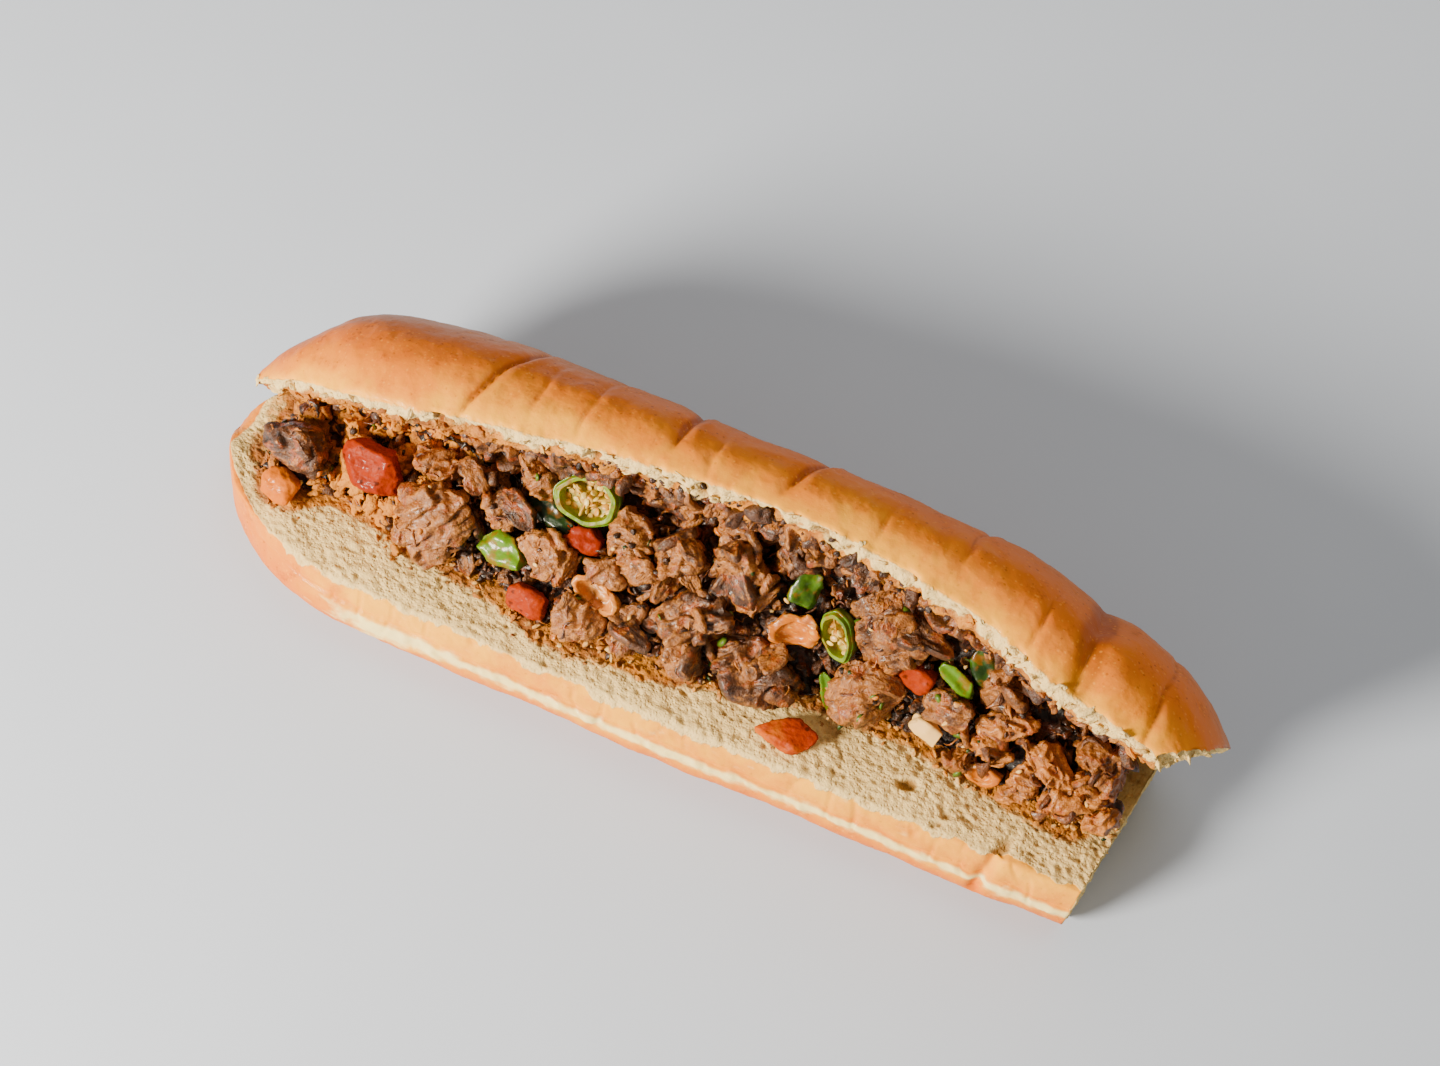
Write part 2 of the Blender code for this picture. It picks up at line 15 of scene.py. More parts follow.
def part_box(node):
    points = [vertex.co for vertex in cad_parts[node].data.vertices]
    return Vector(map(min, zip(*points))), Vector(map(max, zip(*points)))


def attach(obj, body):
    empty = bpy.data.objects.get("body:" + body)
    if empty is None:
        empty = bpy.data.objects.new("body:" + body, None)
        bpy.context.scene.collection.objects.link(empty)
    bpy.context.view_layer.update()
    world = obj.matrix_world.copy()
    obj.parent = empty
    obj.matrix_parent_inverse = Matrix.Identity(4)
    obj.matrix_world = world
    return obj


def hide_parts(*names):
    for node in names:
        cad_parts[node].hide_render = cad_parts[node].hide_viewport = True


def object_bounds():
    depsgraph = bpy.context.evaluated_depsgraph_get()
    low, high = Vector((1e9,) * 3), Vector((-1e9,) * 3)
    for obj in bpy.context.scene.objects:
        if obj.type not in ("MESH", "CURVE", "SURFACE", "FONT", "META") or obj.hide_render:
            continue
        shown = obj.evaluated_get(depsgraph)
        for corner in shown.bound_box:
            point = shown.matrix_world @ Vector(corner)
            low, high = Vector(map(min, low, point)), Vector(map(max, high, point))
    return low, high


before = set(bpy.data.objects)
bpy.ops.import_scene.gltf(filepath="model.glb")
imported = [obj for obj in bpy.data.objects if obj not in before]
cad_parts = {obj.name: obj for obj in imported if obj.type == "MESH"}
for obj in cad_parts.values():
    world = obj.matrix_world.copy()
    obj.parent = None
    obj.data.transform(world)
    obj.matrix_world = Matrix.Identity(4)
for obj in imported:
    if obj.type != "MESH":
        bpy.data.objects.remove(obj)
cad_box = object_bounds()

MM = 0.001
ROLL_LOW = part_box("bread_roll")[0]
# How far the roll's front bulges past the line that distances back start from
FRONT_BULGE = 1.5

# The roll: each table is a run of (distance from the round end, value) along the roll
FRONT = ((0, 33), (1, 29), (5, 21.5), (13, 11.5), (27, 3), (41, -0.5), (62, -1.5), (125, -1),
         (200, 1), (250, 2.5))
BACK = ((0, 37), (1, 40), (5, 46), (13, 53), (27, 59.5), (41, 62), (60, 63), (200, 62), (230, 57),
        (250, 51))
HINGE = ((0, 44), (12, 50), (30, 55), (60, 57), (200, 56), (230, 51), (250, 46))
HINGE_HEIGHT = 19
HEEL_TOP = ((0, 10.5), (1, 13.5), (3, 15.8), (6, 17.2), (12, 18.6), (30, 21), (250, 21))
HEEL_UNDERSIDE = ((0, 7.5), (1, 4.6), (3, 2.6), (8, 0.9), (16, 0.1), (22, 0), (250, 0))
HEEL_PROFILE = ((-0.79, 1.0), (-0.87, 0.8), (-0.95, 0.58), (-1.0, 0.38), (-0.97, 0.2), (-0.88, 0.05),
                (-0.74, 0.0), (-0.3, 0.0), (0.3, 0.0), (0.72, 0.0), (0.88, 0.06), (0.97, 0.2), (1.0, 0.42),
                (0.98, 0.7), (0.93, 1.0))
HEEL_HALF_WIDTH = 32
HEEL_HEIGHT = 21
CUT_SLANT = 0.15
CUT_SLANT_FROM = 215
HEEL_LENGTH = 249.5
TIP_LENGTH = 14

LID_START = 11
LID_NOSE = 9
LID_END = 246
LID_ANGLE = ((11, 63), (22, 64), (48, 66), (73, 71), (116, 78), (155, 81), (192, 77), (222, 71),
             (246, 71))
LID_REACH = ((11, 27), (22, 38), (48, 50), (73, 52), (116, 54), (200, 54), (228, 53), (246, 50))
LID_ROOT = ((11, 21), (13, 13), (16, 8), (22, 3), (40, -4), (60, -6), (246, -6))
CROWN = ((11, 3), (14, 8), (19, 12), (28, 18.5), (40, 22), (65, 23), (90, 21.6), (127, 20), (155, 19.9),
         (176, 20.9), (200, 22.2), (215, 22.6), (228, 21.4), (233, 19.7), (238, 16.4), (243, 11.8),
         (246, 8.6))
CRUMB_BULGE = ((11, 1.5), (20, 4), (60, 3.5), (150, 2.4), (225, 4), (246, 3.5))
CROWN_OVERHANG = 13.5
CROWN_OVERHANG_FROM = 214
LID_END_LEAN = 5
LID_FULLNESS = 0.86

# Creases across the lid: place, depth, half width, lean, and the turns where each starts and stops
CREASES = ((64, 0.7, 1.0, 4, 0.45, 0.95), (73, 1.5, 1.2, 16, 0.02, 0.95), (84, 0.5, 0.9, 2, 0.05, 0.4),
           (97, 0.5, 0.9, 3, 0.0, 0.45), (118, 1.8, 1.3, -3, 0.12, 1.0), (128, 0.5, 0.9, 1, 0.0, 0.3),
           (149, 1.8, 1.2, 12, 0.1, 0.9), (170, 0.35, 0.9, 4, 0.0, 0.3), (191, 0.8, 1.0, 6, 0.15, 0.55),
           (212, 0.6, 0.9, 1, 0.0, 0.35), (224, 2.3, 3.2, -4, 0.0, 1.0), (243, 0.9, 1.0, -2, 0.0, 0.6))

HEAP_FRONT = ((12, 27), (18, 19), (27, 18), (37, 22), (50, 21), (61, 18), (76, 18), (87, 15), (102, 12),
              (119, 14), (136, 17), (151, 20), (165, 24), (194, 25.5), (218, 21.5), (232, 20), (243, 24),
              (250, 26))

# How far up the lid's cut face the filling reaches, along the roll
CONTACT = ((16, 0.5), (60, 0.62), (78, 0.82), (95, 0.9), (130, 0.93), (180, 0.9), (205, 0.76), (243, 0.62))

# How dark each piece of meat is, from tan to seared
MEAT_TONES = {1: 0.84, 2: 0.4, 3: 0.5, 4: 0.55, 5: 0.62, 6: 0.4, 7: 0.18, 8: 0.05, 9: 0.15, 10: 0.2, 11: 0.1,
              12: 0.0, 13: 0.2, 14: 0.2, 15: 0.15, 16: 0.2, 17: 0.6, 18: 0.4, 19: 0.45, 20: 0.4, 21: 0.35,
              22: 0.8, 23: 0.35, 24: 0.5, 25: 0.2}
# From orange to ripe red, from light to dark green, and from cream to brown
TOMATO_RIPENESS = {1: 0.9, 2: 1.0, 3: 0.0, 4: 0.75, 5: 0.8, 6: 1.0}
PEPPER_TONES = {1: 0.55, 2: 0.0, 3: 0.9, 4: 0.1, 5: 0.75, 6: 0.3}
ONION_TONES = {1: 0.62, 2: 0.9, 3: 0.05, 4: 0.9}
# How deep each curl of onion is, and how dark pulled meat is
ONION_HOLLOWS = {1: 3.0, 2: 1.6, 4: 1.6}
PULLED_TONE = 0.4

# Mesh fineness, and the seed that all random choices start from
GRAIN = 0.62
FOOD_VOXEL = 0.42
HEAP_VOXEL = 0.7
END_RINGS = 32
SEED = 11

# The net laid over the filling: its reach along and back, the height it falls from, and its step
NET_ALONG = (8, 249)
NET_BACK = (2, 58)
NET_HEIGHT = 75
NET_STEP = 0.8
# How many places are tried in a square as wide as the spacing of strewn bits
CROWDING = 1.3

# The camera's lens and sensor, its tilt and turn in degrees, where it aims, and how far off it is in metres
LENS, SENSOR = 60, 36
CAMERA_TILT, CAMERA_TURN = 22, 24.6
CAMERA_AIM = (124.7, 63.5, 0)
CAMERA_DISTANCE = 0.623


def row(points):
    """Points in millimetres along, back and up, as metres in the row frame."""
    low = np.array([ROLL_LOW[0], ROLL_LOW[1] + FRONT_BULGE * MM, ROLL_LOW[2]])
    return np.asarray(points, float) * MM + low


def along(table, x):
    """Values of a table at x, on a smooth curve that keeps between its rows."""
    xs, ys = np.array(table, float).T
    steps = np.diff(ys) / np.diff(xs)
    slopes = np.concatenate([steps[:1], np.zeros(len(xs) - 2), steps[-1:]])
    before, after = steps[:-1], steps[1:]
    level = before * after <= 0
    slopes[1:-1] = np.where(level, 0, 2 * before * after / np.where(level, 1, before + after))
    x = np.clip(x, xs[0], xs[-1])
    k = np.clip(np.searchsorted(xs, x) - 1, 0, len(xs) - 2)
    span = xs[k + 1] - xs[k]
    t = (x - xs[k]) / span
    return (ys[k] * (1 + 2 * t) * (1 - t) ** 2 + slopes[k] * span * t * (1 - t) ** 2
            + ys[k + 1] * t * t * (3 - 2 * t) + slopes[k + 1] * span * t * t * (t - 1))


def ramp(x, start, end):
    """Rises smoothly from 0 at start to 1 at end, which may come before start."""
    t = np.clip((np.asarray(x, float) - start) / (end - start), 0, 1)
    return t * t * (3 - 2 * t)


def lattice(cells, seed):
    """Repeatable random numbers from 0 to 1, one for each whole-number cell."""
    x, y, z = (cells[..., k].astype(np.int64).astype(np.uint64) for k in range(3))
    mixed = (x * np.uint64(73856093)) ^ (y * np.uint64(19349663)) ^ (z * np.uint64(83492791))
    mixed = (mixed ^ np.uint64(seed * 2654435761)) & np.uint64(0xFFFFFFFF)
    mixed = ((mixed ^ (mixed >> np.uint64(15))) * np.uint64(2246822519)) & np.uint64(0xFFFFFFFF)
    mixed = ((mixed ^ (mixed >> np.uint64(13))) * np.uint64(3266489917)) & np.uint64(0xFFFFFFFF)
    return ((mixed ^ (mixed >> np.uint64(16))) & np.uint64(0xFFFFFF)) / 16777215


def bumps(points, size, seed):
    """Smooth noise from about -1 to 1, with lumps of the given size."""
    place = points / size + 0.37
    base = np.floor(place)
    part = place - base
    fade = part ** 3 * (part * (part * 6 - 15) + 10)
    total = np.zeros(points.shape[:-1])
    for corner in np.ndindex(2, 2, 2):
        weight = np.prod(np.where(corner, fade, 1 - fade), axis=-1)
        slope = np.stack([lattice(base + corner, seed + k) for k in (0, 101, 211)], axis=-1) * 2 - 1
        total += weight * ((part - corner) * slope).sum(-1)
    return total * 1.7


def layered(points, size, seed, layers=4, fall=0.5):
    """Noise with finer and fainter layers on top of each other."""
    return sum(fall ** k * bumps(points, size * 0.5 ** k, seed + 17 * k) for k in range(layers))


def pulls(points, size, seed):
    """Three noises at once, to shift points in every direction."""
    return np.stack([bumps(points, size, seed + k) for k in range(3)], axis=-1)


def pits(points, size, share, seed):
    """How deep round hollows are, at most one to a cell of the given size."""
    place = points / size
    base = np.floor(place)
    deepest = np.zeros(points.shape[:-1])
    for step in np.ndindex(3, 3, 3):
        cell = base + step - 1
        centre = cell + np.stack([lattice(cell, seed + k) for k in (1, 2, 3)], axis=-1)
        radius = 0.16 + 0.34 * lattice(cell, seed + 4) ** 1.5
        radius = np.where(lattice(cell, seed + 5) < share, radius, 1e-6)
        gap = np.linalg.norm(place - centre, axis=-1)
        deepest = np.maximum(deepest, np.clip(1 - (gap / radius) ** 2, 0, 1) * radius)
    return deepest * size


# Meshes

def in_scene(name, data):
    """An object in the scene that holds a mesh, a lamp or a camera."""
    made = bpy.data.objects.new(name, data)
    bpy.context.scene.collection.objects.link(made)
    return made


def new_piece(name, points, faces):
    """A piece from points in the row frame and faces, with smooth shading."""
    mesh = bpy.data.meshes.new(name)
    mesh.from_pydata(points, [], faces)
    mesh.shade_smooth()
    mesh.update()
    return in_scene(name, mesh)


def mark(piece, name, values):
    """Keeps one number for each point of a piece, for its finish to read."""
    layer = piece.data.attributes.get(name) or piece.data.attributes.new(name, "FLOAT", "POINT")
    layer.data.foreach_set("value", np.asarray(values, np.float32).ravel())


def read_mark(piece, name):
    """The number that each point of a piece keeps under a name."""
    values = np.empty(len(piece.data.vertices), np.float32)
    piece.data.attributes[name].data.foreach_get("value", values)
    return values


def points_of(piece):
    flat = np.empty(len(piece.data.vertices) * 3)
    piece.data.vertices.foreach_get("co", flat)
    return flat.reshape(-1, 3)


def set_points(piece, points):
    """Moves a piece's points, which stay inside the CAD box."""
    low, high = np.array(cad_box[0]), np.array(cad_box[1])
    piece.data.vertices.foreach_set("co", np.clip(points, low, high).ravel())
    piece.data.update()


def normals_of(piece):
    flat = np.empty(len(piece.data.vertices) * 3, np.float32)
    piece.data.vertices.foreach_get("normal", flat)
    return flat.reshape(-1, 3)


def tube_faces(rows, columns):
    """Faces of a closed tube of rings; its two ends are closed by one point each, after the rings."""
    grid = np.arange(rows * columns).reshape(rows, columns)
    after = np.roll(grid, -1, axis=1)
    quads = np.stack([grid[:-1], after[:-1], after[1:], grid[1:]], axis=-1).reshape(-1, 4)
    first, last = rows * columns, rows * columns + 1
    start = [(first, int(b), int(a)) for a, b in zip(grid[0], after[0])]
    end = [(last, int(a), int(b)) for a, b in zip(grid[-1], after[-1])]
    return quads.tolist() + start + end


def grid_normals(grid):
    """Outward directions of a grid of rings."""
    down = np.gradient(grid, axis=0)
    round_ring = (np.roll(grid, -1, axis=1) - np.roll(grid, 1, axis=1)) / 2
    normals = np.cross(round_ring, down)
    return normals / np.maximum(np.linalg.norm(normals, axis=-1, keepdims=True), 1e-9)


def round_rings(grid, times):
    """Evens out each ring, so that its corners are rounded."""
    for _ in range(times):
        grid = (np.roll(grid, 1, axis=1) + 2 * grid + np.roll(grid, -1, axis=1)) / 4
    return grid


def close_end(ring, inset, steps):
    """Rings that shrink to the middle of a cut end."""
    middle = ring.mean(axis=0)
    return [middle + (ring - middle) * (1 - inset * k) for k in range(1, steps + 1)]


def tube_piece(name, grid, marks):
    """A closed piece through a grid of rings, with its marks."""
    ends = np.array([grid[0].mean(axis=0), grid[-1].mean(axis=0)])
    rows, columns = grid.shape[:2]
    points = np.vstack([grid.reshape(-1, 3), ends])
    piece = new_piece(name, row(points), tube_faces(rows, columns))
    set_points(piece, row(points))
    for key, values in marks.items():
        mark(piece, key, np.concatenate([values.ravel(), values[0].mean(keepdims=True),
                                         values[-1].mean(keepdims=True)]))
    return piece


# The bread

def heel_height(x, share):
    """Height of the heel's cut face; share runs from 0 at its front edge to 1 at its back."""
    return along(HEEL_TOP, x) - 3.0 * ramp(share, 0.05, 0.6)


def heel_stations():
    """Distances along the heel at which it has a ring, closer together round the tip."""
    tip = TIP_LENGTH * np.linspace(0, 1, 46) ** 2.2
    body = np.linspace(TIP_LENGTH, HEEL_LENGTH, int((HEEL_LENGTH - TIP_LENGTH) / GRAIN))
    return np.concatenate([tip, body[1:]])


def heel_grid():
    """The heel's rings and, for each point, how much it is crumb and how far round the crust it is."""
    profile, size = np.array(HEEL_PROFILE), (HEEL_HALF_WIDTH, HEEL_HEIGHT)
    travel = np.concatenate([[0], np.cumsum(np.linalg.norm(np.diff(profile * size, axis=0), axis=1))])
    travel /= travel[-1]
    across_table = np.column_stack([travel, profile[:, 0]])
    up_table = np.column_stack([travel, profile[:, 1]])
    base_start, base_end = travel[6], travel[9]
    front_points, base_points, back_points, filled_points, bare_points = 46, 22, 34, 26, 78
    round_crust = np.concatenate([np.linspace(0, base_start, front_points)[:-1],
                                  np.linspace(base_start, base_end, base_points)[:-1],
                                  np.linspace(base_end, 1, back_points)])
    bare_share = 0.55
    shares = np.concatenate([np.linspace(1, bare_share, filled_points)[1:-1],
                             np.linspace(bare_share, 0, bare_points)[:-1]])
    x = heel_stations()[:, None]
    nose = np.sqrt(np.clip(1 - (1 - np.clip(x / 1.5, 0, 1)) ** 2, 0, 1)) * 0.98 + 0.02
    front, back = along(FRONT, x), along(BACK, x)
    middle, half = (front + back) / 2, (back - front) / 2 * nose
    lift = along(HEEL_UNDERSIDE, x)
    rim = along(HEEL_TOP, x)
    centre = (lift + rim) / 2
    across, up = along(across_table, round_crust), along(up_table, round_crust)
    top = heel_height(x, (across[None] > 0) * 1.0)
    crust_y = middle + across * half
    crust_z = centre + ((lift + up * (top - lift)) - centre) * nose
    face_front = middle + HEEL_PROFILE[0][0] * half
    face_back = middle + HEEL_PROFILE[-1][0] * half
    face_y = face_front + shares * (face_back - face_front)
    face_z = centre + (heel_height(x, shares[None]) - centre) * nose
    y, z = np.hstack([crust_y, face_y]), np.hstack([crust_z, face_z])
    slant = CUT_SLANT * ramp(x, CUT_SLANT_FROM, HEEL_LENGTH)
    grid = np.stack([x + slant * (y - along(HINGE, x)), y, z], axis=-1)
    crumb = np.concatenate([np.zeros(len(round_crust)), np.ones(len(shares))])
    turn = np.concatenate([round_crust, np.zeros(len(shares))])
    return grid, np.tile(crumb, (len(x), 1)), np.tile(turn, (len(x), 1))


def crumb_relief(points, seed, holes=1.0):
    """Open crumb: scattered large and small holes, with torn walls between them."""
    warped = points + 1.1 * pulls(points, 3.5, seed + 1)
    large = pits(warped * (0.8, 1, 1), 6.0, 0.3, seed + 10) * 0.75 * holes
    middling = pits(warped, 2.8, 0.4, seed + 20) * 0.55
    fine = pits(warped, 1.5, 0.9, seed + 25) * 0.95
    torn = 0.36 * layered(points, 1.9, seed + 30, 3, 0.7) + 0.42 * bumps(points, 9, seed)
    return -np.maximum(np.maximum(large, middling), fine) + torn


def crust_relief(points, seed):
    """Soft unevenness of baked crust, with a skin that is finely puckered."""
    puckers = np.abs(bumps(points * (1, 0.6, 0.6), 2.4, seed + 3))
    fine = np.abs(bumps(points, 1.6, seed + 4))
    return 0.55 * bumps(points, 22, seed) + 0.28 * bumps(points, 7, seed + 1) - 0.2 * puckers - 0.12 * fine


def with_cut_end(grid, marks, steps):
    """Adds the rings of the cut end, which is all crumb inside a thin crust."""
    inset = 1 / (steps + 1)
    ends = np.array(close_end(grid[-1], inset, steps))
    grid = np.concatenate([grid, ends])
    longer = {}
    for key, values in marks.items():
        last = np.ones((steps, values.shape[1])) if key == "crumb" else np.repeat(values[-1:], steps, axis=0)
        longer[key] = np.concatenate([values, last])
    return grid, longer


def wandering(edge, x, seed):
    """Lets the border between crust and crumb run unevenly along the roll."""
    columns = np.arange(edge.shape[1])
    wander = np.stack([x[:, 0], np.zeros(len(x)), np.zeros(len(x))], axis=-1)
    inset = 10 * ramp(x[:, 0], 36, 8) + 7 * ramp(x[:, 0], 219, 225) - 3.5
    steps = np.round(inset + 4.2 * bumps(wander, 9, seed) + 2.6 * bumps(wander, 2.6, seed + 1)).astype(int)
    return np.stack([line[(columns + step) % len(columns)] for line, step in zip(edge, steps)])


def round_tip(grid):
    """Rounds off the heel's closed tip, where crust runs over onto the cut face."""
    weight = 0.5 * ramp(grid[1:-1, :, :1], 11, 3)
    for _ in range(60):
        around = np.roll(grid, 1, axis=1) + np.roll(grid, -1, axis=1)
        middle = (around[1:-1] + grid[:-2] + grid[2:]) / 4
        grid[1:-1] += weight * (middle - grid[1:-1])
    return grid


def make_heel(finish):
    """The roll's lower half: crust with a pale stretched band, and open crumb on its cut face."""
    grid, crumb, turn = heel_grid()
    grid = round_tip(round_rings(grid, 3))
    grid, marks = with_cut_end(grid, {"crumb": crumb, "turn": turn}, END_RINGS)
    crumb, turn = marks["crumb"], marks["turn"]
    normals = grid_normals(grid)
    x, y, z = grid[..., 0], grid[..., 1], grid[..., 2]
    edge = wandering(np.clip(round_rings(crumb[..., None], 6)[..., 0], 0, 1), x, 15)
    tip = ramp(x, 0, 10)
    wander = grid * (1, 0, 0)
    stretch_line = 12.9 + 0.7 * bumps(wander, 30, 5) + 0.5 * bumps(wander, 5, 6)
    stretch_width = 1.0 + 0.45 * bumps(wander, 11, 7) + 0.25 * bumps(wander, 3, 9) + 1.3 * ramp(x, 85, 45)
    front_side = (y < 20) * (1 - crumb)
    beside = (z - stretch_line) / (stretch_width * np.where(z > stretch_line, 0.75, 2.3))
    blotches = 0.24 * ramp(bumps(grid * (0.35, 1, 1), 4, 18), -0.2, 0.5) * ramp(z, 6, 11)
    stretch = np.maximum(np.exp(-beside ** 2), blotches) * front_side
    stretch *= ramp(x + 9 * bumps(grid * (0.3, 1, 1), 2.5, 17), 34, 60)
    groove = np.exp(-((z - stretch_line - stretch_width - 0.25) / 0.45) ** 2) * front_side * ramp(x, 14, 40)
    nicks = np.clip(1 - np.abs(bumps(grid * (1, 0.25, 0.25), 9, 8)) / 0.05, 0, 1) * front_side * (z > 12)
    holes = 0.25 + ramp(x, 180, 195) * ramp(x, 232, 218)
    lift = edge * crumb_relief(grid, 40, holes) + (1 - edge) * crust_relief(grid, 60)
    flakes = np.clip(layered(grid * (0.6, 1, 1), 2.6, 9, 3), 0, 1)
    lift = lift * np.clip(tip, 0.25, 1) + stretch * (0.3 + 1.0 * flakes) - 0.8 * groove - 0.5 * nicks
    fold = 2.6 * np.exp(-((x - 221.5 - 0.35 * (y - 6)) / 1.5) ** 2) * (1 - ramp(y, 8, 17)) * (z > 8)
    lift -= fold * (0.7 + 0.5 * bumps(grid, 4, 12))
    flat = (z < 0.6) & (normals[..., 2] < -0.5)
    lift[flat] = 0
    grid = grid + normals * lift[..., None]
    front_of_heap = along(HEAP_FRONT, x)
    spread = 3.5 + 4.5 * bumps(grid * (1, 0, 0), 26, 21) + 2.5 * bumps(grid * (1, 0.3, 0), 8, 22)
    soak = ramp(y, front_of_heap - np.clip(spread, 1, 9), front_of_heap + 1) * edge
    soak *= 0.35 + 0.65 * ramp(x, 4, 14) * ramp(x, 244, 236)
    soak[-END_RINGS:] = 0
    tip_brown = 0.15 * ramp(x, 60, 4) + 0.24 * ramp(z, 11.5, 5)
    rim = ramp(x + 0.25 * np.clip(30 - y, -6, 12) * (x < 16), 1.5, 4.5 + 1.0 * bumps(grid, 5, 23))
    piece = tube_piece("bread_heel", grid, {"crumb": edge * rim, "turn": turn * 0.8 - 0.02 + tip_brown,
                                            "soak": soak * rim,
                                            "stretch": stretch,
                                            # The depth of the crumb's pits, which the finish darkens as
                                            # painted shade.
                                            "hollow": np.clip(-lift * edge, 0, 2)})
    piece.data.materials.append(finish)
    return piece


def swing(x, reach, height):
    """Points of the turned-back lid: reach from the hinge along its cut face, and height off that face."""
    angle = np.radians(along(LID_ANGLE, x))
    return (along(HINGE, x) - reach * np.cos(angle) + height * np.sin(angle),
            HINGE_HEIGHT + reach * np.sin(angle) + height * np.cos(angle))


def crease_depth(x, turn):
    """How deep the lid's creases are; turn is 0 at the front edge and 1 at the back."""
    depth = np.zeros(np.broadcast(x, turn).shape)
    for place, deep, width, lean, start, stop in CREASES:
        wander = 1.6 * np.sin(turn * 9 + place) + 0.6 * np.sin(turn * 31 + place)
        reach = (x - place - lean * (turn - 0.25) - wander * 0.5) / width
        length = ramp(turn, start - 0.1, start + 0.08) * ramp(turn, stop + 0.1, stop - 0.15)
        length = length * (1 - 0.6 * ramp(turn, 0.36, 0.52))
        depth += deep * (0.95 * np.exp(-np.abs(reach) * 1.6) + 0.22 * np.exp(-(reach / 2.2) ** 2)) * length
        depth -= 0.22 * deep * np.exp(-((reach - 2.4) / 1.1) ** 2) * length
    return depth


def lid_grid():
    """The lid's rings, and each point's crumb, turn round the crust and share up the cut face."""
    body_start = LID_START + LID_NOSE
    nose = LID_START + LID_NOSE * np.linspace(0, 1, 26) ** 1.8
    body = np.linspace(body_start, LID_END, int((LID_END - body_start) / GRAIN))
    stations = np.concatenate([nose, body[1:]])
    x = stations[:, None]
    dome_points, rim_points, hidden_points, rim_share = 120, 58, 34, 0.6
    turns = np.pi * np.linspace(0, 1, dome_points)
    shares = np.concatenate([np.linspace(1, rim_share, rim_points)[1:-1],
                             np.linspace(rim_share, 0, hidden_points)[:-1]])
    root, reach, crown = along(LID_ROOT, x), along(LID_REACH, x), along(CROWN, x)
    overhang = CROWN_OVERHANG * ramp(x, CROWN_OVERHANG_FROM, LID_END)
    lean = LID_END_LEAN * ramp(x, CROWN_OVERHANG_FROM, LID_END)
    middle, half = (root + reach) / 2, (reach - root) / 2
    rounding = np.clip(np.sin(turns), 0, 1) ** LID_FULLNESS
    dome_y, dome_z = swing(x, middle - half * np.cos(turns), crown * rounding)
    dome_share = (1 - np.cos(turns)) / 2
    dome_x = x + overhang * np.sin(turns) + lean * (1 - dome_share)
    bulge = along(CRUMB_BULGE, x) * shares ** 0.8 * (1 - shares ** 8)
    face_y, face_z = swing(x, root + shares * (reach - root), -bulge)
    face_x = x + lean * (1 - shares)
    both = zip((dome_x, dome_y, dome_z), (face_x, face_y, face_z))
    grid = np.stack([np.hstack(pair) for pair in both], axis=-1)
    crumb = np.concatenate([np.zeros(len(turns)), np.ones(len(shares))])
    turn = np.concatenate([1 - turns / np.pi, np.zeros(len(shares))])
    share = np.concatenate([dome_share, shares])
    spread = [np.tile(values, (len(stations), 1)) for values in (crumb, turn, share)]
    return grid, *spread


def make_lid(finish):
    """The roll's upper half, turned back on its hinge: creased crust, and crumb on its cut face."""
    grid, crumb, turn, share = lid_grid()
    grid = round_rings(grid, 3)
    grid, marks = with_cut_end(grid, {"crumb": crumb, "turn": turn, "share": share}, END_RINGS)
    crumb, turn, share = marks["crumb"], marks["turn"], marks["share"]
    normals = grid_normals(grid)
    x = grid[..., 0]
    edge = np.clip(round_rings(crumb[..., None], 10)[..., 0], 0, 1)
    creases = crease_depth(x, turn) * (1 - edge)
    torn = 1.7 * layered(grid, 4.5, 150, 4, 0.55) * edge * ramp(share, 0.7, 0.9)
    lift = edge * crumb_relief(grid, 140) + torn + (1 - edge) * crust_relief(grid, 160) - creases
    lift *= ramp(x, LID_START - 1, LID_START + 8) * 0.8 + 0.2
    grid = grid + normals * lift[..., None]
    left_soak = ramp(x + 14 * bumps(grid * (1, 0, 0), 9, 35), 100, 62) * ramp(share, 0.98, 0.89)
    right_soak = 0.75 * ramp(x, 196, 210) * ramp(share, 0.95, 0.82) * ramp(x, 232, 222)
    reach = 0.95 + 0.1 * bumps(grid * (1, 0, 0), 13, 33) + 0.06 * bumps(grid * (1, 0, 0), 5, 34)
    soak = edge * np.maximum(np.maximum(ramp(share, reach, reach - 0.07), left_soak), right_soak)
    soak[-END_RINGS:] = 0
    piece = tube_piece("bread_lid", grid, {"crumb": edge, "turn": turn, "soak": soak, "share": share,
                                           "stretch": np.zeros_like(turn),
                                           # The depth of the crumb's pits and of the creases, which the
                                           # finish darkens as painted shade.
                                           "hollow": np.clip(-lift * edge, 0, 2) + np.clip(creases, 0, 2)})
    piece.data.materials.append(finish)
    return piece


# The filling

def copy_of(node, name):
    """A merged copy of a CAD node's mesh."""
    bm = bmesh.new()
    bm.from_mesh(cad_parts[node].data)
    bmesh.ops.remove_doubles(bm, verts=bm.verts, dist=1e-6)
    mesh = bpy.data.meshes.new(name)
    bm.to_mesh(mesh)
    bm.free()
    return in_scene(name, mesh)


def keep_evaluated(piece):
    """Applies what a piece's modifiers make."""
    graph = bpy.context.evaluated_depsgraph_get()
    made = bpy.data.meshes.new_from_object(piece.evaluated_get(graph))
    piece.modifiers.clear()
    old = piece.data
    piece.data = made
    bpy.data.meshes.remove(old)
    return piece


def even_mesh(piece, voxel):
    """Rebuilds a piece as an even skin, with faces about as wide as a voxel, in millimetres."""
    modifier = piece.modifiers.new("even", "REMESH")
    modifier.mode = "VOXEL"
    modifier.voxel_size = voxel * MM
    modifier.use_smooth_shade = True
    return keep_evaluated(piece)


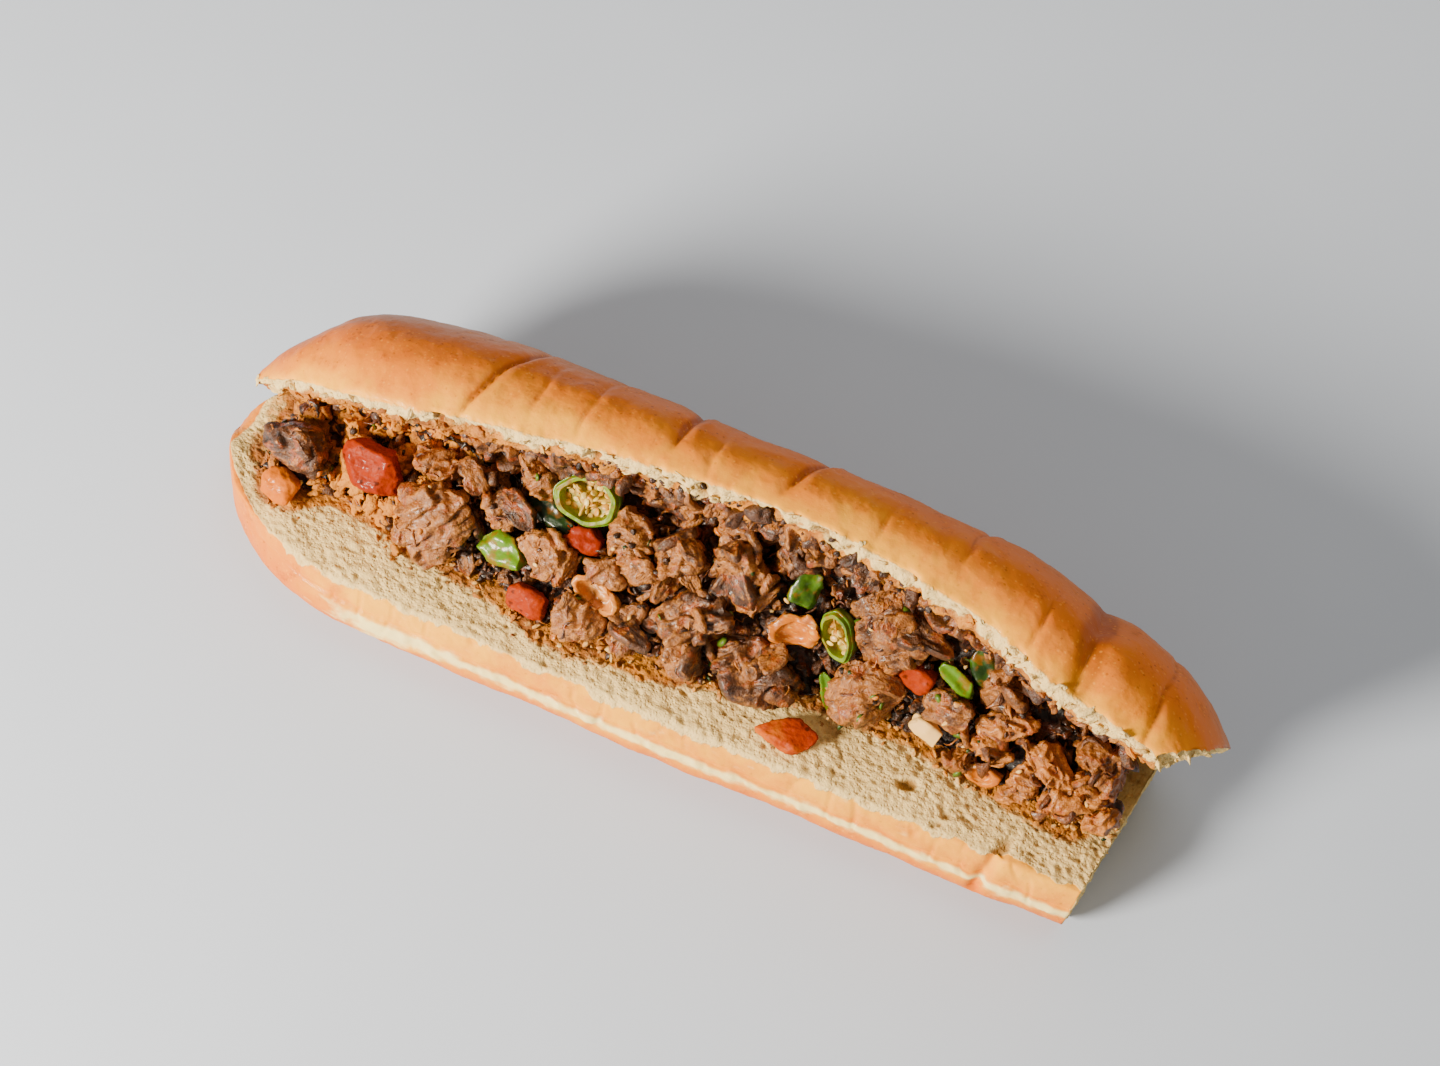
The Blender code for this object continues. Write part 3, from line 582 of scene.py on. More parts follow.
def relax(piece, times):
    """Softens a mesh towards the middle of each point's neighbours."""
    edges = np.empty(len(piece.data.edges) * 2, np.int64)
    piece.data.edges.foreach_get("vertices", edges)
    one, other = edges.reshape(-1, 2).T
    points = points_of(piece)
    count = np.bincount(np.concatenate([one, other]), minlength=len(points))[:, None]
    for _ in range(times):
        total = np.stack([np.bincount(one, points[other, k], len(points))
                          + np.bincount(other, points[one, k], len(points)) for k in range(3)], axis=-1)
        points = points * 0.4 + 0.6 * total / count
    set_points(piece, points)


def push(piece, distances):
    """Moves each point along its normal by a distance in millimetres."""
    set_points(piece, points_of(piece) + normals_of(piece) * (np.asarray(distances) * MM)[:, None])


def grain_frame(seed):
    """Three directions for a piece's grain, the first along its fibres."""
    rng = np.random.default_rng(seed)
    fibre = rng.normal(size=3) * (1, 1, 0.35)
    fibre /= np.linalg.norm(fibre)
    side = np.cross(fibre, (0.3, 0.1, 1))
    side /= np.linalg.norm(side)
    return np.stack([fibre, side, np.cross(fibre, side)])


def own_axes(points):
    """A piece's middle, its directions from its longest to its thinnest, and its points along them.

    The thinnest points up.
    """
    middle = (points.min(axis=0) + points.max(axis=0)) / 2
    spread = points - points.mean(axis=0)
    _, directions = np.linalg.eigh(spread.T @ spread)
    axes = directions[:, ::-1].T
    axes[2] *= np.sign(axes[2, 2]) or 1
    axes[0] *= np.sign(axes[0, 0]) or 1
    axes[1] = np.cross(axes[2], axes[0])
    return middle, axes, (points - middle) @ axes.T


def chop(points, directions, shares, keep=0.12):
    """Presses flat what lies beyond a cut in each direction, at a share of the reach there."""
    middle = (points.min(axis=0) + points.max(axis=0)) / 2
    for direction, share in zip(directions, shares):
        reach = (points - middle) @ direction
        over = np.clip(reach - reach.max() * share, 0, None)
        points = points - direction * (over * (1 - keep))[:, None]
    return points


def rough_cuts(piece, seed, cuts, shallow, deep):
    """Knife cuts and breaks at random round a piece."""
    rng = np.random.default_rng(seed)
    directions = rng.normal(size=(cuts, 3))
    directions /= np.linalg.norm(directions, axis=1, keepdims=True)
    set_points(piece, chop(points_of(piece), directions, rng.uniform(deep, shallow, cuts)))


def box_cuts(piece, share):
    """Cuts on the six sides of a dice."""
    points = points_of(piece)
    _, axes, _ = own_axes(points)
    directions = np.vstack([axes, -axes])
    set_points(piece, chop(points, directions, [share] * 6, 0.05))


def block_cuts(piece, seed, shallow, deep):
    """Six slanted cuts that leave a rough block."""
    rng = np.random.default_rng(seed + 7)
    points = points_of(piece)
    middle, axes, _ = own_axes(points)
    points = middle + (points - middle) * 1.18
    directions = np.vstack([axes, -axes]) + rng.normal(scale=0.36, size=(6, 3))
    directions /= np.linalg.norm(directions, axis=1, keepdims=True)
    set_points(piece, chop(points, directions, rng.uniform(deep, shallow, 6), 0.08))


def bend(piece, seed, amount, size):
    """Pulls a piece out of its round shape, sideways as much as outward."""
    points = points_of(piece) / MM
    set_points(piece, (points + amount * pulls(points, size, seed + 60)) * MM)


def ridges(points, size, seed):
    """Noise with sharp crests, from 0 to 1."""
    return 1 - np.clip(np.abs(bumps(points, size, seed)) * 1.6, 0, 1)


def grain_place(piece, seed, amount, size):
    """Places of a piece's points along its grain: as they are, and with the grain bent."""
    points = points_of(piece) / MM
    local = (points - points.mean(axis=0)) @ grain_frame(seed).T
    return local, local + amount * pulls(local, size, seed + 50)


def mark_meat(piece, crack, fibre, tone):
    """Keeps what the finish of meat reads."""
    mark(piece, "crack", np.clip(crack, 0, 1))
    mark(piece, "fibre", np.clip(fibre, 0, 1))
    mark(piece, "tint", np.full(len(crack), tone))


def cook_meat(piece, seed, tone):
    """Cut faces, fibres along one grain, a few splits, and small ragged knobs of seared meat."""
    bend(piece, seed, 1.6, 9)
    block_cuts(piece, seed, 0.78, 0.5)
    reach = np.ptp(points_of(piece), axis=0).max() / MM
    rough_cuts(piece, seed, 3 + int(reach / 4), 0.86, 0.55)
    bend(piece, seed + 30, 0.45, 3.5)
    relax(piece, 1)
    local, bent = grain_place(piece, seed, 1.2, 7)
    bundles = ridges(bent * (0.2, 1, 1), 2.6, seed + 1)
    fibres = ridges(bent * (0.14, 1, 1), 1.15, seed + 2)
    knobs = pits(bent, 2.6, 0.55, seed + 5) * ramp(bumps(local, 7, seed + 6), -0.3, 0.5)
    splits = np.clip(1 - np.abs(bumps(bent * (0.3, 1, 1), 6.0, seed + 3)) / 0.06, 0, 1)
    splits *= ramp(bumps(local, 9, seed + 7), -0.1, 0.4)
    torn = 0.45 + 0.55 * ramp(bumps(local, 5.5, seed + 9), -0.2, 0.3)
    slabs = (bent[:, 1] / (2.5 + reach / 5) + 0.8 * bumps(local, 7, seed + 12)) % 1.0
    slabs = np.minimum(slabs, (1 - slabs) * 7) * min(reach, 22) * 0.095
    shape = 0.6 * bumps(local, 8, seed + 4) + 0.62 * torn * layered(local, 3.2, seed + 8, 4, 0.66)
    push(piece, slabs - 0.5 + shape + torn * (0.4 * (bundles - 0.4) + 0.5 * knobs) + 0.24 * (fibres - 0.5)
         - 1.0 * splits + 0.2)
    # Marks for painted shade in splits and in valleys between bundles and slabs, and for painted highlights
    # on crests.
    crack = splits + 0.6 * (0.45 - bundles) + 0.5 * (slabs < 0.12)
    mark_meat(piece, crack, 0.65 * fibres + 0.35 * bundles, tone)


def cook_pulled(piece, seed, tone):
    """Pulled meat: loose bundles of strands that stand up along the grain."""
    relax(piece, 2)
    local, bent = grain_place(piece, seed, 1.6, 5)
    strands = ridges(bent * (0.12, 1, 1), 2.3, seed + 1)
    fibres = ridges(bent * (0.12, 1, 1), 0.9, seed + 2)
    gaps = pits(bent * (0.4, 1, 1), 3.2, 0.6, seed + 3)
    push(piece, 0.7 * bumps(local, 6, seed + 4) + 1.3 * (strands - 0.5) + 0.35 * (fibres - 0.5) - 1.1 * gaps)
    # Marks for painted shade in the gaps between strands, and for painted highlights on the strands.
    mark_meat(piece, gaps * 1.2 + 0.7 * (0.45 - strands), 0.5 * fibres + 0.5 * strands, tone)


def cook_tomato(piece, seed, ripe):
    """Soft cut tomato under a thin, slightly wrinkled skin."""
    if ripe > 0.1:
        box_cuts(piece, 0.8)
    rough_cuts(piece, seed, 4, 0.9, 0.7)
    relax(piece, 6)
    points = points_of(piece) / MM
    wrinkles = ridges(points * (0.5, 1, 1), 2.2, seed + 5)
    push(piece, 0.55 * layered(points, 6, seed, 4) + 0.22 * wrinkles + 0.12 * bumps(points, 1.1, seed + 7)
         - 0.15)
    mark(piece, "tint", np.full(len(points), ripe))


def cook_wedge(piece, seed, ripe):
    """A tomato wedge: pointed and pale at the left, broad and ripe at the right."""
    points = points_of(piece)
    middle, axes, place = own_axes(points)
    length = place[:, 0] / np.abs(place[:, 0]).max()
    place[:, 1] *= 0.28 + 0.8 * ramp(length, -1.0, 0.5)
    place[:, 1] += (1 - ramp(length, -1, 0.6)) * 2.2 * MM
    place[:, 2] *= 0.8
    set_points(piece, middle + place @ axes)
    rough_cuts(piece, seed + 4, 7, 0.9, 0.62)
    relax(piece, 3)
    points = points_of(piece) / MM
    wrinkles = ridges(points * (0.4, 1, 1), 1.8, seed + 5)
    push(piece, 0.3 * layered(points, 4, seed, 4, 0.6) + 0.25 * (wrinkles - 0.5))
    mark(piece, "tint", ripe * (0.38 + 0.4 * ramp(length + 0.6 * bumps(points, 5, seed + 6), -0.3, 0.9)))


def skin_side(piece):
    """Where a strip's outer skin is, as the side that faces up off the heap."""
    _, axes, _ = own_axes(points_of(piece))
    return ramp(normals_of(piece) @ axes[2], -0.2, 0.25)


def cook_strip(piece, seed, tone):
    """A strip of pepper with its skin up, a little hollow along its middle."""
    bend(piece, seed, 0.7, 6)
    rough_cuts(piece, seed, 5, 0.88, 0.6)
    relax(piece, 2)
    mark(piece, "skin", skin_side(piece))
    points = points_of(piece)
    _, axes, place = own_axes(points)
    width = np.abs(place[:, 1]).max()
    trough = 0.9 * np.exp(-(place[:, 1] / width / 0.45) ** 2) * (place[:, 2] > 0)
    set_points(piece, points - axes[2] * (trough * MM)[:, None])
    points = points_of(piece) / MM
    push(piece, 0.3 * layered(points, 4, seed, 3) - 0.05)
    mark(piece, "tint", np.full(len(points), tone))


def cook_onion(piece, seed, tone, hollow=0.0):
    """Onion: curved layers that part at the cut ends, or a curled loop where hollow is more than 0."""
    points = points_of(piece)
    _, axes, place = own_axes(points)
    size = np.abs(place).max(axis=0)
    reach = np.hypot(place[:, 0] / size[0] / 0.8, place[:, 1] / size[1] / 0.7)
    dip = hollow * (1 - ramp(reach, 0.55, 0.95)) * (place[:, 2] > -0.3 * size[2])
    set_points(piece, points - axes[2] * (dip * MM)[:, None])
    bend(piece, seed, 0.9, 5)
    relax(piece, 2)
    points = points_of(piece) / MM
    layers = np.sin(place[:, 2] / MM * 3.4 + 1.5 * bumps(points, 6, seed))
    push(piece, 0.16 * layers + 0.28 * layered(points, 4, seed + 2, 3) - 0.1)
    mark(piece, "tint", np.full(len(points), tone))


def cook_cube(piece, seed, tone):
    """A dice of onion with its cut faces."""
    box_cuts(piece, 0.66)
    cook_onion(piece, seed, tone)


def cook_heap(piece):
    """Mince: packed small lumps, sunk in places, with painted shade in the gaps between them and in the dips.
    """
    relax(piece, 2)
    points = points_of(piece) / MM
    warped = points + 1.2 * pulls(points, 3, 300)
    packed = pits(warped, 4.6, 0.95, 310) + 0.5 * pits(warped, 2.1, 0.9, 330)
    sunk = 3.2 * ramp(bumps(points, 12, 340), 0.0, 0.45)
    push(piece, 1.9 * packed - 1.2 - sunk + 0.5 * layered(points, 2.0, 350, 2))
    # Painted shade: darker in the gaps between lumps and in the sunk places.
    mark(piece, "crack", np.clip(ramp(packed, 0.8, 0.15) + 0.3 * sunk, 0, 1))
    mark(piece, "fibre", bumps(points, 1.2, 360) * 0.5 + 0.5)
    mark(piece, "tint", bumps(points, 5, 370) * 0.4 + 0.55)


def cooked(node, voxel, cook, finish, *settings):
    """A detailed piece in place of a CAD node."""
    piece = even_mesh(copy_of(node, node + "_cooked"), voxel)
    cook(piece, *settings)
    piece.data.materials.clear()
    piece.data.materials.append(finish)
    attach(piece, "root")
    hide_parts(node)
    "filling_heap" if node == "filling_heap" else node.rsplit("_", 1)[0]
    return piece


# Pepper slices

def pepper_ring(node, finish, seed):
    """A slice across a pepper: a fleshy wall with skin outside, thin ribs, and a soft middle."""
    source = copy_of(node, node + "_source")
    points = points_of(source)
    bpy.data.objects.remove(source)
    middle, axes, place = own_axes(points)
    long_half, short_half, thick = np.abs(place).max(axis=0) / MM
    rng = np.random.default_rng(seed)
    turns = np.linspace(0, 2 * np.pi, 96, endpoint=False)
    outline = 1 + 0.04 * np.sin(3 * turns + rng.uniform(0, 6)) + 0.02 * np.sin(7 * turns)
    outline /= outline.max()
    ribs = rng.uniform(0, 2) + np.arange(3) * 2.1
    top = np.concatenate([np.linspace(0.02, 0.7, 26), np.linspace(0.71, 0.985, 22)])
    rings, skin, pale = [], [], []

    def add_ring(share, height, skin_share, pale_share):
        reach = share * outline
        rings.append(np.stack([long_half * reach * np.cos(turns), short_half * reach * np.sin(turns),
                               np.broadcast_to(height, turns.shape)], axis=-1))
        skin.append(np.full(len(turns), skin_share))
        pale.append(np.broadcast_to(pale_share, turns.shape))

    for share in top:
        away = np.abs((turns[:, None] - ribs + np.pi) % (2 * np.pi) - np.pi).min(axis=1)
        rib = np.exp(-(away * share * long_half / 0.75) ** 2)
        soft_middle = 1 - ramp(share, 0.16, 0.36)
        wall = ramp(share, 0.68, 0.78)
        rounded = 1 - 0.35 * ramp(share, 0.9, 0.985)
        filled = np.maximum(np.maximum(rib * 0.75, soft_middle * 0.85), wall * rounded)
        add_ring(share, thick * (-0.55 + 1.5 * filled), ramp(share, 0.93, 0.985),
                 (1 - wall) * np.maximum(rib, 0.55 + 0.45 * soft_middle))
    underside = ((1.0, 0.45), (1.0, 0.0), (1.0, -0.5), (0.97, -0.85), (0.9, -1.0), (0.5, -1.0), (0.1, -1.0))
    for share, height in underside:
        add_ring(share, thick * height, 1.0 if share > 0.95 else 0.2, 0.0)
    grid = np.array(rings)
    wobble = layered(grid, 3.5, seed, 3)[..., None] * (0, 0, 0.22)
    grid = (grid + wobble) * MM @ axes + middle
    grid = grid / MM - np.array([ROLL_LOW[0] / MM, ROLL_LOW[1] / MM + FRONT_BULGE, 0])
    piece = tube_piece(node + "_cooked", grid, {"skin": np.array(skin), "pale": np.array(pale),
                                                "tint": np.full(grid.shape[:2], 0.25)})
    fix_outward(piece)
    piece.data.materials.append(finish)
    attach(piece, "root")
    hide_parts(node)
    return piece


# Small shapes and how they are strewn

def small_shape(name, fineness, half_sizes, seed, roughness, cuts=0):
    """A rough lump with half sizes in millimetres: 20, 80 or 320 faces, as fineness is 1, 2 or 3."""
    bm = bmesh.new()
    bmesh.ops.create_icosphere(bm, subdivisions=fineness, radius=1.0)
    mesh = bpy.data.meshes.new(name)
    bm.to_mesh(mesh)
    bm.free()
    shape = in_scene(name, mesh)
    points = points_of(shape)
    rng = np.random.default_rng(seed)
    if cuts:
        directions = rng.normal(size=(cuts, 3))
        directions /= np.linalg.norm(directions, axis=1, keepdims=True)
        points = chop(points, directions, rng.uniform(0.45, 0.85, cuts))
    points *= 1 + roughness * bumps(points * 1.3, 1.0, seed)[:, None]
    shape.data.vertices.foreach_set("co", (points * np.array(half_sizes) * MM).ravel())
    shape.data.shade_smooth()
    shape.data.update()
    mark(shape, "fibre", rng.uniform(0.1, 0.9, len(points)))
    mark(shape, "crack", rng.uniform(0.0, 0.5, len(points)) ** 2)
    return shape


def lumps(name, count, fineness, half_sizes, seed, roughness, cuts=0):
    """A few lumps of one kind."""
    return [small_shape("%s_%d" % (name, k), fineness, half_sizes, seed + k, roughness, cuts)
            for k in range(count)]


def strip_shape(name, length, width, thick, curl, seed, sides=6, steps=9):
    """A torn strand that curls, thins at its ends and twists."""
    rng = np.random.default_rng(seed)
    t = np.linspace(-0.5, 0.5, steps)
    curve = curl * (1 + 0.5 * rng.uniform(-1, 1))
    sway = 0.12 * np.sin(7 * t + rng.uniform(0, 6))
    path = length * np.stack([np.sin(curve * t) / curve, sway, (np.cos(curve * t) - 1) / curve], axis=-1)
    rings = []
    for k, place in enumerate(path):
        taper = (1 - (2 * abs(t[k])) ** 3) * 0.8 + 0.2
        twist = 2.2 * t[k] * rng.uniform(0.6, 1.2)
        angles = np.linspace(0, 2 * np.pi, sides, endpoint=False)
        across = width * 0.5 * taper * np.cos(angles) * rng.uniform(0.75, 1.2)
        up = thick * 0.5 * taper * np.sin(angles)
        ring = np.stack([np.zeros(sides), across * math.cos(twist) - up * math.sin(twist),
                         across * math.sin(twist) + up * math.cos(twist)], axis=-1)
        rings.append(place + ring)
    grid = np.array(rings)
    points = np.vstack([grid.reshape(-1, 3), [path[0], path[-1]]]) * MM
    shape = new_piece(name, points, tube_faces(steps, sides))
    fix_outward(shape)
    mark(shape, "fibre", rng.uniform(0.1, 0.9, len(points)))
    mark(shape, "crack", rng.uniform(0.0, 0.6, len(points)) ** 2)
    return shape


def slab_shape(name, radius, thick, seed, sides=30):
    """A shaved slice of meat with a ragged outline and a slight curl."""
    rng = np.random.default_rng(seed)
    turns = np.linspace(2 * np.pi, 0, sides, endpoint=False)
    circle = np.stack([np.cos(turns), np.sin(turns), np.zeros(sides)], axis=-1)
    outline = 1 + 0.42 * bumps(circle * 2, 1.7, seed) + 0.22 * bumps(circle * 2, 0.6, seed + 1)
    stretch = rng.uniform(0.55, 0.85)
    curl, rings = rng.uniform(-0.2, 0.08), []
    for share, side in ([(s, 1) for s in (0.05, 0.25, 0.45, 0.65, 0.82, 0.95)] + [(1.0, 0.4), (1.0, -0.5)]
                        + [(s, -1) for s in (0.9, 0.6, 0.3, 0.05)]):
        flat = circle * outline[:, None] * share * radius * (1, stretch, 1)
        grain = ridges(flat * (0.25, 1, 1) + rng.uniform(0, 9), 1.3, seed + 2) - 0.5
        rough = 0.5 * bumps(flat, 3.0, seed + 3) + 0.42 * bumps(flat, 1.5, seed + 6) + 0.35 * grain
        flat[:, 2] = side * thick / 2 + rough * (0.4 + 0.6 * (side > 0))
        flat[:, 2] += curl * flat[:, 0] ** 2 / radius * 1.6
        rings.append(flat)
    grid = np.array(rings)
    points = np.vstack([grid.reshape(-1, 3), [grid[0].mean(axis=0), grid[-1].mean(axis=0)]])
    shape = new_piece(name, points * MM, tube_faces(len(grid), sides))
    mark(shape, "fibre", ridges(points * (0.25, 1, 1), 1.3, seed + 2))
    mark(shape, "crack", np.clip(bumps(points, 2.0, seed + 5), 0, 1))
    return shape


def fix_outward(piece):
    """Turns every face of a closed piece outwards."""
    bm = bmesh.new()
    bm.from_mesh(piece.data)
    bmesh.ops.recalc_face_normals(bm, faces=bm.faces)
    bm.to_mesh(piece.data)
    bm.free()


def strewing(shapes):
    """Lays shapes on a surface, as thickly as its mark 'strewn' asks, each turned and sized at random."""
    tree = bpy.data.node_groups.new("strewing", "GeometryNodeTree")
    wanted = {"Surface": "Geometry", "Spacing": "Float", "Density": "Float", "Smallest": "Float",
              "Largest": "Float", "Sink": "Float", "Tilt": "Float", "Seed": "Int", "Finish": "Material"}
    new_socket = tree.interface.new_socket
    sockets = {label: new_socket(label, in_out="INPUT", socket_type="NodeSocket" + kind).identifier
               for label, kind in wanted.items()}
    new_socket("Pieces", in_out="OUTPUT", socket_type="NodeSocketGeometry")

    def add(kind, settings, values, result=0):
        """Adds a node: its settings, then the values or links of its inputs; gives one of its outputs."""
        made = tree.nodes.new(kind)
        for key, value in settings.items():
            setattr(made, key, value)
        for key, value in values.items():
            if isinstance(value, bpy.types.NodeSocket):
                tree.links.new(value, made.inputs[key])
            else:
                made.inputs[key].default_value = value
        return made.outputs[result] if len(made.outputs) else None

    def chance(kind, low, high, first, result):
        """A random value for each piece, from low to high."""
        values = {first: low, first + 1: high, "Seed": given["Seed"]}
        return add("FunctionNodeRandomValue", {"data_type": kind}, values, result)

    given = tree.nodes.new("NodeGroupInput").outputs
    strewn = add("GeometryNodeInputNamedAttribute", {"data_type": "FLOAT"}, {"Name": "strewn"}, "Attribute")
    dots = add("GeometryNodeDistributePointsOnFaces", {"distribute_method": "POISSON"},
               {"Mesh": given["Surface"], "Distance Min": given["Spacing"], "Density Max": given["Density"],
                "Density Factor": strewn, "Seed": given["Seed"]}, "Points").node.outputs
    pool = tree.nodes.new("GeometryNodeJoinGeometry")
    for shape in shapes:
        source = add("GeometryNodeObjectInfo", {}, {"Object": shape}, "Geometry")
        tree.links.new(add("GeometryNodeGeometryToInstance", {}, {"Geometry": source}), pool.inputs[0])
    which = chance("INT", 0, len(shapes) - 1, 4, 2)
    size = chance("FLOAT", given["Smallest"], given["Largest"], 2, 1)
    laid = add("GeometryNodeInstanceOnPoints", {},
               {"Points": dots["Points"], "Instance": pool.outputs[0], "Pick Instance": True,
                "Instance Index": which, "Rotation": dots["Rotation"], "Scale": size})
    minus = add("ShaderNodeMath", {"operation": "MULTIPLY"}, {0: given["Tilt"], 1: -1.0})
    down = add("ShaderNodeMath", {"operation": "MULTIPLY"}, {0: given["Sink"], 1: -1.0})
    low = add("ShaderNodeCombineXYZ", {}, {0: minus, 1: minus})
    high = add("ShaderNodeCombineXYZ", {}, {0: given["Tilt"], 1: given["Tilt"], 2: 2 * math.pi})
    turn = chance("FLOAT_VECTOR", low, high, 0, 0)
    turned = add("GeometryNodeRotateInstances", {},
                 {"Instances": laid, "Rotation": turn, "Local Space": True})
    drop = add("ShaderNodeCombineXYZ", {}, {2: down})
    sunk = add("GeometryNodeTranslateInstances", {},
               {"Instances": turned, "Translation": drop, "Local Space": True})
    named = add("GeometryNodeStoreNamedAttribute", {"data_type": "FLOAT", "domain": "INSTANCE"},
                {"Geometry": sunk, "Name": "tint", "Value": chance("FLOAT", 0.0, 1.0, 2, 1)})
    real = add("GeometryNodeRealizeInstances", {}, {"Geometry": named})
    done = add("GeometryNodeSetMaterial", {}, {"Geometry": real, "Material": given["Finish"]})
    add("NodeGroupOutput", {}, {0: done})
    return tree, sockets


def strew(name, host, where, shapes, finish, slot, spacing, sizes, seed, sink, tilt):
    """A piece of many small shapes strewn on a host, as thickly as 'where' says for each of its points."""
    mark(host, "strewn", where)
    tree, sockets = strewing(shapes)
    layer = in_scene(name, host.data.copy())
    modifier = layer.modifiers.new("strewing", "NODES")
    modifier.node_group = tree
    density = CROWDING / (spacing * MM) ** 2
    for label, value in (("Spacing", spacing * MM), ("Density", density), ("Smallest", sizes[0]),
                         ("Largest", sizes[1]), ("Sink", sink * MM), ("Tilt", tilt), ("Seed", seed),
                         ("Finish", finish)):
        modifier[sockets[label]] = value
    keep_evaluated(layer)
    set_points(layer, points_of(layer))
    for shape in shapes:
        bpy.data.objects.remove(shape)
    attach(layer, "root")


def strew_all(host, layers, finishes):
    """Lays layer after layer of small bits on a host."""
    for name, where, shapes, finish, slot, *settings in layers:
        strew(name, host, where, shapes, finishes[finish], slot, *settings)


def drape(pieces, step):
    """A net laid from above over pieces, and for each of its points the piece below it and its place."""
    corners, faces, owner = [], [], []
    start = 0
    for number, piece in enumerate(pieces):
        points = points_of(piece)
        corners.append(points)
        for face in piece.data.polygons:
            faces.append([start + k for k in face.vertices])
        owner.extend([number] * len(piece.data.polygons))
        start += len(points)
    tree = BVHTree.FromPolygons(np.vstack(corners).tolist(), faces)
    xs, ys = np.arange(*NET_ALONG, step), np.arange(*NET_BACK, step)
    height = np.full((len(xs), len(ys)), np.nan)
    below = np.full((len(xs), len(ys)), -1)
    for i, x in enumerate(xs):
        for j, y in enumerate(ys):
            hit, _, face, _ = tree.ray_cast(Vector(row((x, y, NET_HEIGHT))), Vector((0, 0, -1)))
            if hit is not None:
                height[i, j] = hit.z / MM
                below[i, j] = owner[face]
    inside = ~np.isnan(height)
    soft = np.where(inside, height, 0)
    for axis in (0, 1):
        soft = (np.roll(soft, 1, axis) + 2 * soft + np.roll(soft, -1, axis)) / 4
    soft = np.where(inside, np.minimum(soft, np.nan_to_num(height) + 0.3), 0)
    grid = np.stack([*np.meshgrid(xs, ys, indexing="ij"), soft], axis=-1)
    number = np.arange(grid.shape[0] * grid.shape[1]).reshape(grid.shape[:2])
    quads = np.stack([number[:-1, :-1], number[1:, :-1], number[1:, 1:], number[:-1, 1:]], axis=-1)
    whole = inside[:-1, :-1] & inside[1:, :-1] & inside[1:, 1:] & inside[:-1, 1:]
    net = new_piece("net", row(grid.reshape(-1, 3)), quads[whole].tolist())
    return net, below, grid


def grown(mask, steps):
    """A mask on the net with a border of so many steps round it."""
    for _ in range(steps):
        wider = mask.copy()
        for axis in (0, 1):
            wider |= np.roll(mask, 1, axis) | np.roll(mask, -1, axis)
        mask = wider
    return mask


# Finishes

class Value:
    """A number that varies over a surface, so that sums on it read as plain expressions."""

    def __init__(self, finish, socket):
        self.finish = finish
        self.socket = socket

    def _sum(self, operation, first, second):
        made = self.finish.node("ShaderNodeMath", {"operation": operation}, {0: first, 1: second})
        return Value(self.finish, made.outputs[0])

    def __add__(self, other):
        return self._sum("ADD", self, other)

    def __radd__(self, other):
        return self._sum("ADD", other, self)

    def __sub__(self, other):
        return self._sum("SUBTRACT", self, other)

    def __rsub__(self, other):
        return self._sum("SUBTRACT", other, self)

    def __mul__(self, other):
        return self._sum("MULTIPLY", self, other)

    def __rmul__(self, other):
        return self._sum("MULTIPLY", other, self)

    def __truediv__(self, other):
        return self._sum("DIVIDE", self, other)

    def __rtruediv__(self, other):
        return self._sum("DIVIDE", other, self)

    def __pow__(self, other):
        return self._sum("POWER", self, other)

    def ramp(self, start, end):
        """Rises smoothly from 0 at start to 1 at end."""
        made = self.finish.node("ShaderNodeMapRange", {"interpolation_type": "SMOOTHSTEP"},
                                {"Value": self, "From Min": start, "From Max": end})
        return Value(self.finish, made.outputs["Result"])


class Finish:
    """A material being made, on one Principled shader."""

    def __init__(self, name, settings):
        self.material = bpy.data.materials.new(name)
        self.material.use_nodes = True
        self.tree = self.material.node_tree
        self.shader = self.tree.nodes["Principled BSDF"]
        for socket, value in settings.items():
            self.shader.inputs[socket].default_value = value
        self.place = self.node("ShaderNodeTexCoord").outputs["Object"]

    def node(self, kind, settings=None, sockets=None):
        """Adds a node: its settings first, then the values or links of its sockets."""
        made = self.tree.nodes.new(kind)
        for key, value in (settings or {}).items():
            setattr(made, key, value)
        for key, value in (sockets or {}).items():
            self.feed(made.inputs[key], value)
        return made

    def feed(self, socket, value):
        """Links a value to a socket, or sets the socket to a plain number or colour."""
        if isinstance(value, Value):
            value = value.socket
        if isinstance(value, bpy.types.NodeSocket):
            self.tree.links.new(value, socket)
        else:
            socket.default_value = value

    def mark(self, name):
        """Reads a number that the piece keeps for each of its points."""
        made = self.node("ShaderNodeAttribute", {"attribute_name": name})
        return Value(self, made.outputs["Fac"])

    def noise(self, size, detail=3.0, stretch=(1, 1, 1), roughness=0.5):
        """Noise with lumps of a size in millimetres."""
        mapped = self.node("ShaderNodeMapping", None, {"Vector": self.place, "Scale": stretch})
        made = self.node("ShaderNodeTexNoise", None, {"Vector": mapped.outputs[0], "Scale": 1 / (size * MM),
                                                      "Detail": detail, "Roughness": roughness})
        return Value(self, made.outputs["Fac"])

    def specks(self, size):
        """Distance from the nearest of many scattered points."""
        made = self.node("ShaderNodeTexVoronoi", None, {"Vector": self.place, "Scale": 1 / (size * MM)})
        return Value(self, made.outputs["Distance"])

    def mix(self, one, other, share):
        """One colour going over to another."""
        made = self.node("ShaderNodeMix", {"data_type": "RGBA"})
        for index, value in ((0, share), (6, one), (7, other)):
            if isinstance(value, tuple):
                value = (*value, 1.0)
            self.feed(made.inputs[index], value)
        return made.outputs[2]

    def bump(self, height, distance, strength):
        """A normal for low relief, of a height over a distance in millimetres."""
        sockets = {"Height": height, "Distance": distance * MM, "Strength": strength}
        return self.node("ShaderNodeBump", None, sockets).outputs["Normal"]

    def done(self, colour, roughness, normal=None, coat=None):
        """Feeds the shader what changes over the surface, and gives the material."""
        sockets = {"Base Color": colour, "Roughness": roughness, "Normal": normal, "Coat Weight": coat}
        for name, value in sockets.items():
            if value is not None:
                self.feed(self.shader.inputs[name], value)
        return self.material


def srgb(red, green, blue):
    """A colour as a screen shows it, from 0 to 255, as the linear numbers that a shader takes."""
    return tuple((c / 255 / 12.92) if c / 255 <= 0.04045 else ((c / 255 + 0.055) / 1.055) ** 2.4
                 for c in (red, green, blue))


